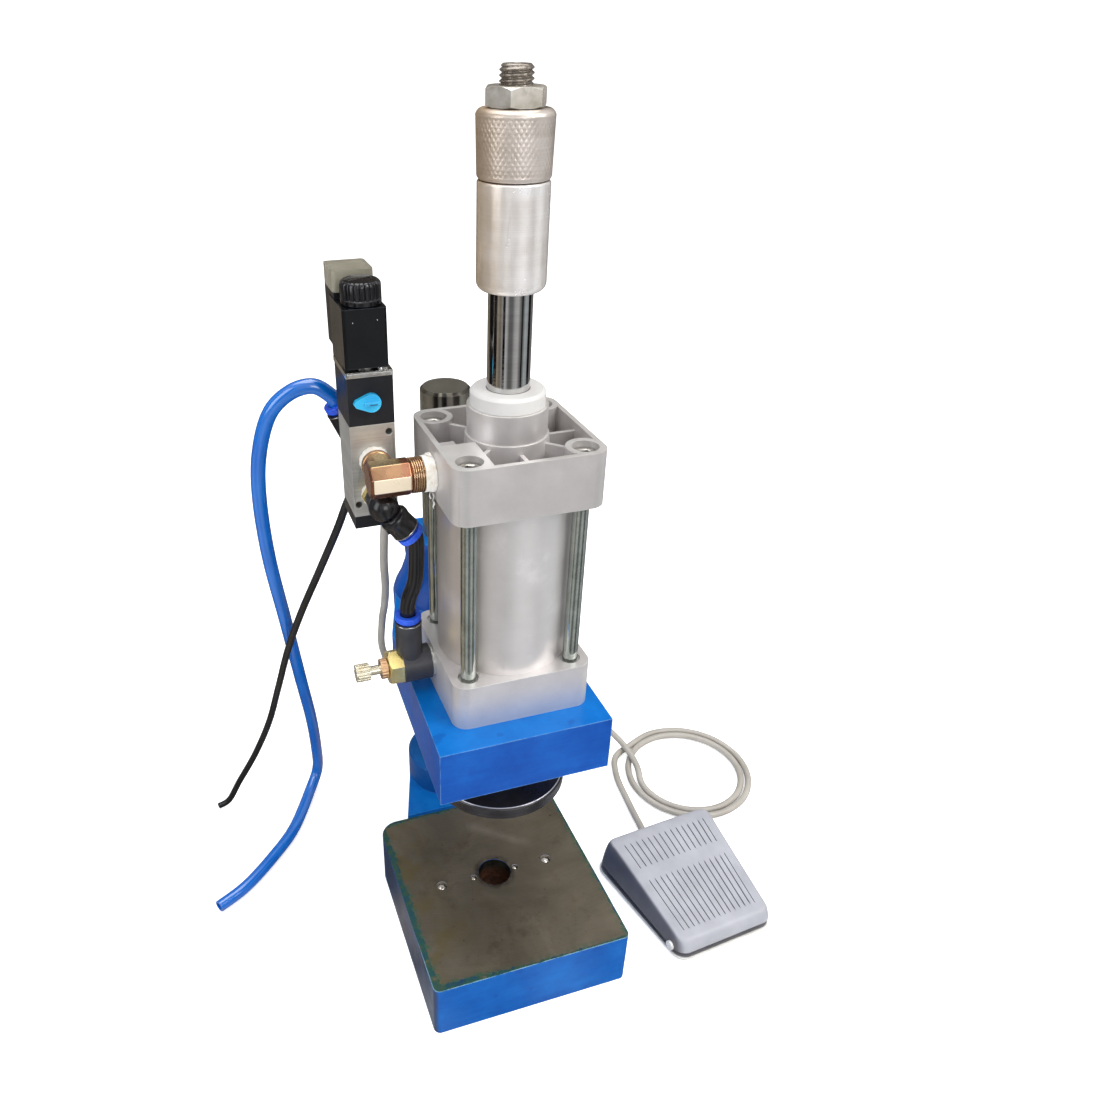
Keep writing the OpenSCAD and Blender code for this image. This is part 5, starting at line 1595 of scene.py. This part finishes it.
def build_floor():
    """flat sheet that curves up far behind, in metres, so the horizon has no line"""
    half_width, bend_start, bend = 6.0, 2.6, 1.2
    profile = [(-4.0, 0.0), (bend_start, 0.0)]
    for i in range(1, 13):
        angle = math.pi / 2 * i / 12
        profile.append((bend_start + bend * math.sin(angle), bend - bend * math.cos(angle)))
    profile.append((bend_start + bend, 5.0))
    verts, faces = [], []
    for y, z in profile:
        verts += [(-half_width, y, z - 0.0003), (half_width, y, z - 0.0003)]
    for i in range(len(profile) - 1):
        faces.append((2 * i, 2 * i + 1, 2 * i + 3, 2 * i + 2))
    obj = new_object("floor", verts, faces, scale=1)
    obj.data.materials.append(make_floor_paper())


def build_world():
    """soft sky that lights the scene, plain white to the camera"""
    world = bpy.data.worlds.new("studio")
    scene.world = world
    world.use_nodes = True
    tree = world.node_tree
    tree.nodes.clear()
    link = tree.links.new
    sky = tree.nodes.new("ShaderNodeBackground")
    output = tree.nodes.new("ShaderNodeOutputWorld")
    coords = tree.nodes.new("ShaderNodeTexCoord")
    split = tree.nodes.new("ShaderNodeSeparateXYZ")
    ramp = tree.nodes.new("ShaderNodeValToRGB")
    height = tree.nodes.new("ShaderNodeMapRange")
    link(coords.outputs["Generated"], split.inputs[0])
    link(split.outputs[2], height.inputs["Value"])
    height.inputs["From Min"].default_value = -0.2
    height.inputs["From Max"].default_value = 1.0
    link(height.outputs[0], ramp.inputs[0])
    low, high = ramp.color_ramp.elements
    low.position, low.color = 0.1, (0.52, 0.53, 0.55, 1)
    high.position, high.color = 0.9, (0.95, 0.96, 1.0, 1)
    link(ramp.outputs[0], sky.inputs[0])
    sky.inputs["Strength"].default_value = 0.75
    rays = tree.nodes.new("ShaderNodeLightPath")
    white = tree.nodes.new("ShaderNodeBackground")
    white.inputs["Color"].default_value = (1, 1, 1, 1)
    white.inputs["Strength"].default_value = 1.0
    chooser = tree.nodes.new("ShaderNodeMixShader")
    link(rays.outputs["Is Camera Ray"], chooser.inputs[0])
    link(sky.outputs[0], chooser.inputs[1])
    link(white.outputs[0], chooser.inputs[2])
    link(chooser.outputs[0], output.inputs[0])


def area(name, place, target, size, power, color=(1, 1, 1), size_y=None):
    light = bpy.data.lights.new(name, "AREA")
    light.energy = power
    light.color = color
    light.size = size
    if size_y:
        light.shape = "RECTANGLE"
        light.size_y = size_y
    obj = bpy.data.objects.new(name, light)
    scene.collection.objects.link(obj)
    obj.location = place
    obj.rotation_euler = (Vector(target) - Vector(place)).to_track_quat("-Z", "Y").to_euler()


def make_card_dark():
    mat = Material("card_dark")
    mat.set(color=rgb(22, 22, 24), rough=0.9, spec=0.0)
    return mat.material


def look_card(name, place, width, material, height=1.1):
    """upright card that only reflections see, turned to the machine"""
    mesh = bpy.data.meshes.new(name)
    x, y = width / 2, height / 2
    mesh.from_pydata([(-x, -y, 0), (x, -y, 0), (x, y, 0), (-x, y, 0)], [], [(0, 1, 2, 3)])
    obj = bpy.data.objects.new(name, mesh)
    scene.collection.objects.link(obj)
    place = Vector(place)
    turn = (Vector((0, 0, 0.36)) - place).to_track_quat("-Z", "Y").to_matrix().to_4x4()
    obj.matrix_world = Matrix.Translation(place) @ turn
    obj.data.materials.append(material)
    obj.visible_camera = False
    obj.visible_shadow = False
    obj.visible_diffuse = False


def build_camera():
    """camera in front, above and a little to the left, with a shifted frame"""
    camera = bpy.data.cameras.new("camera")
    obj = bpy.data.objects.new("camera", camera)
    scene.collection.objects.link(obj)
    forward = Vector((0.26828, 0.80734, -0.52557)).normalized()
    right = forward.cross(Vector((0.16161, 0.50012, 0.85074))).normalized()
    up = right.cross(forward).normalized()
    obj.matrix_world = Matrix((
        (right.x, up.x, -forward.x, -0.147906),
        (right.y, up.y, -forward.y, -0.386033),
        (right.z, up.z, -forward.z, 0.516746),
        (0, 0, 0, 1)))
    camera.sensor_width = 36
    camera.lens = 30.545
    camera.shift_x = 0.0755
    camera.shift_y = 0.0257
    camera.clip_start = 0.01
    scene.camera = obj


build_floor()
build_world()
area("key", (0.9, -0.75, 1.35), (0, 0.0, 0.2), size=0.9, power=16, color=(1.0, 0.985, 0.96))
area("top", (-0.1, 0.25, 1.75), (0, 0.05, 0.2), size=1.3, power=15)
area("left", (-1.2, -0.35, 0.75), (0, 0, 0.25), size=0.6, power=5, color=(0.93, 0.96, 1.0),
     size_y=1.1)
area("front", (0.05, -1.5, 0.75), (0, 0, 0.2), size=0.7, power=4.5)
card_dark = make_card_dark()
look_card("card_left", (-0.75, -0.62, 0.42), 0.22, card_dark)
look_card("card_right", (0.62, -0.62, 0.42), 0.12, card_dark)
look_card("card_side", (0.95, 0.1, 0.42), 0.4, card_dark)
look_card("card_west", (-0.95, 0.15, 0.42), 0.35, card_dark)
build_camera()
scene.view_settings.view_transform = "Standard"
scene.view_settings.look = "None"
scene.view_settings.exposure = 0.0
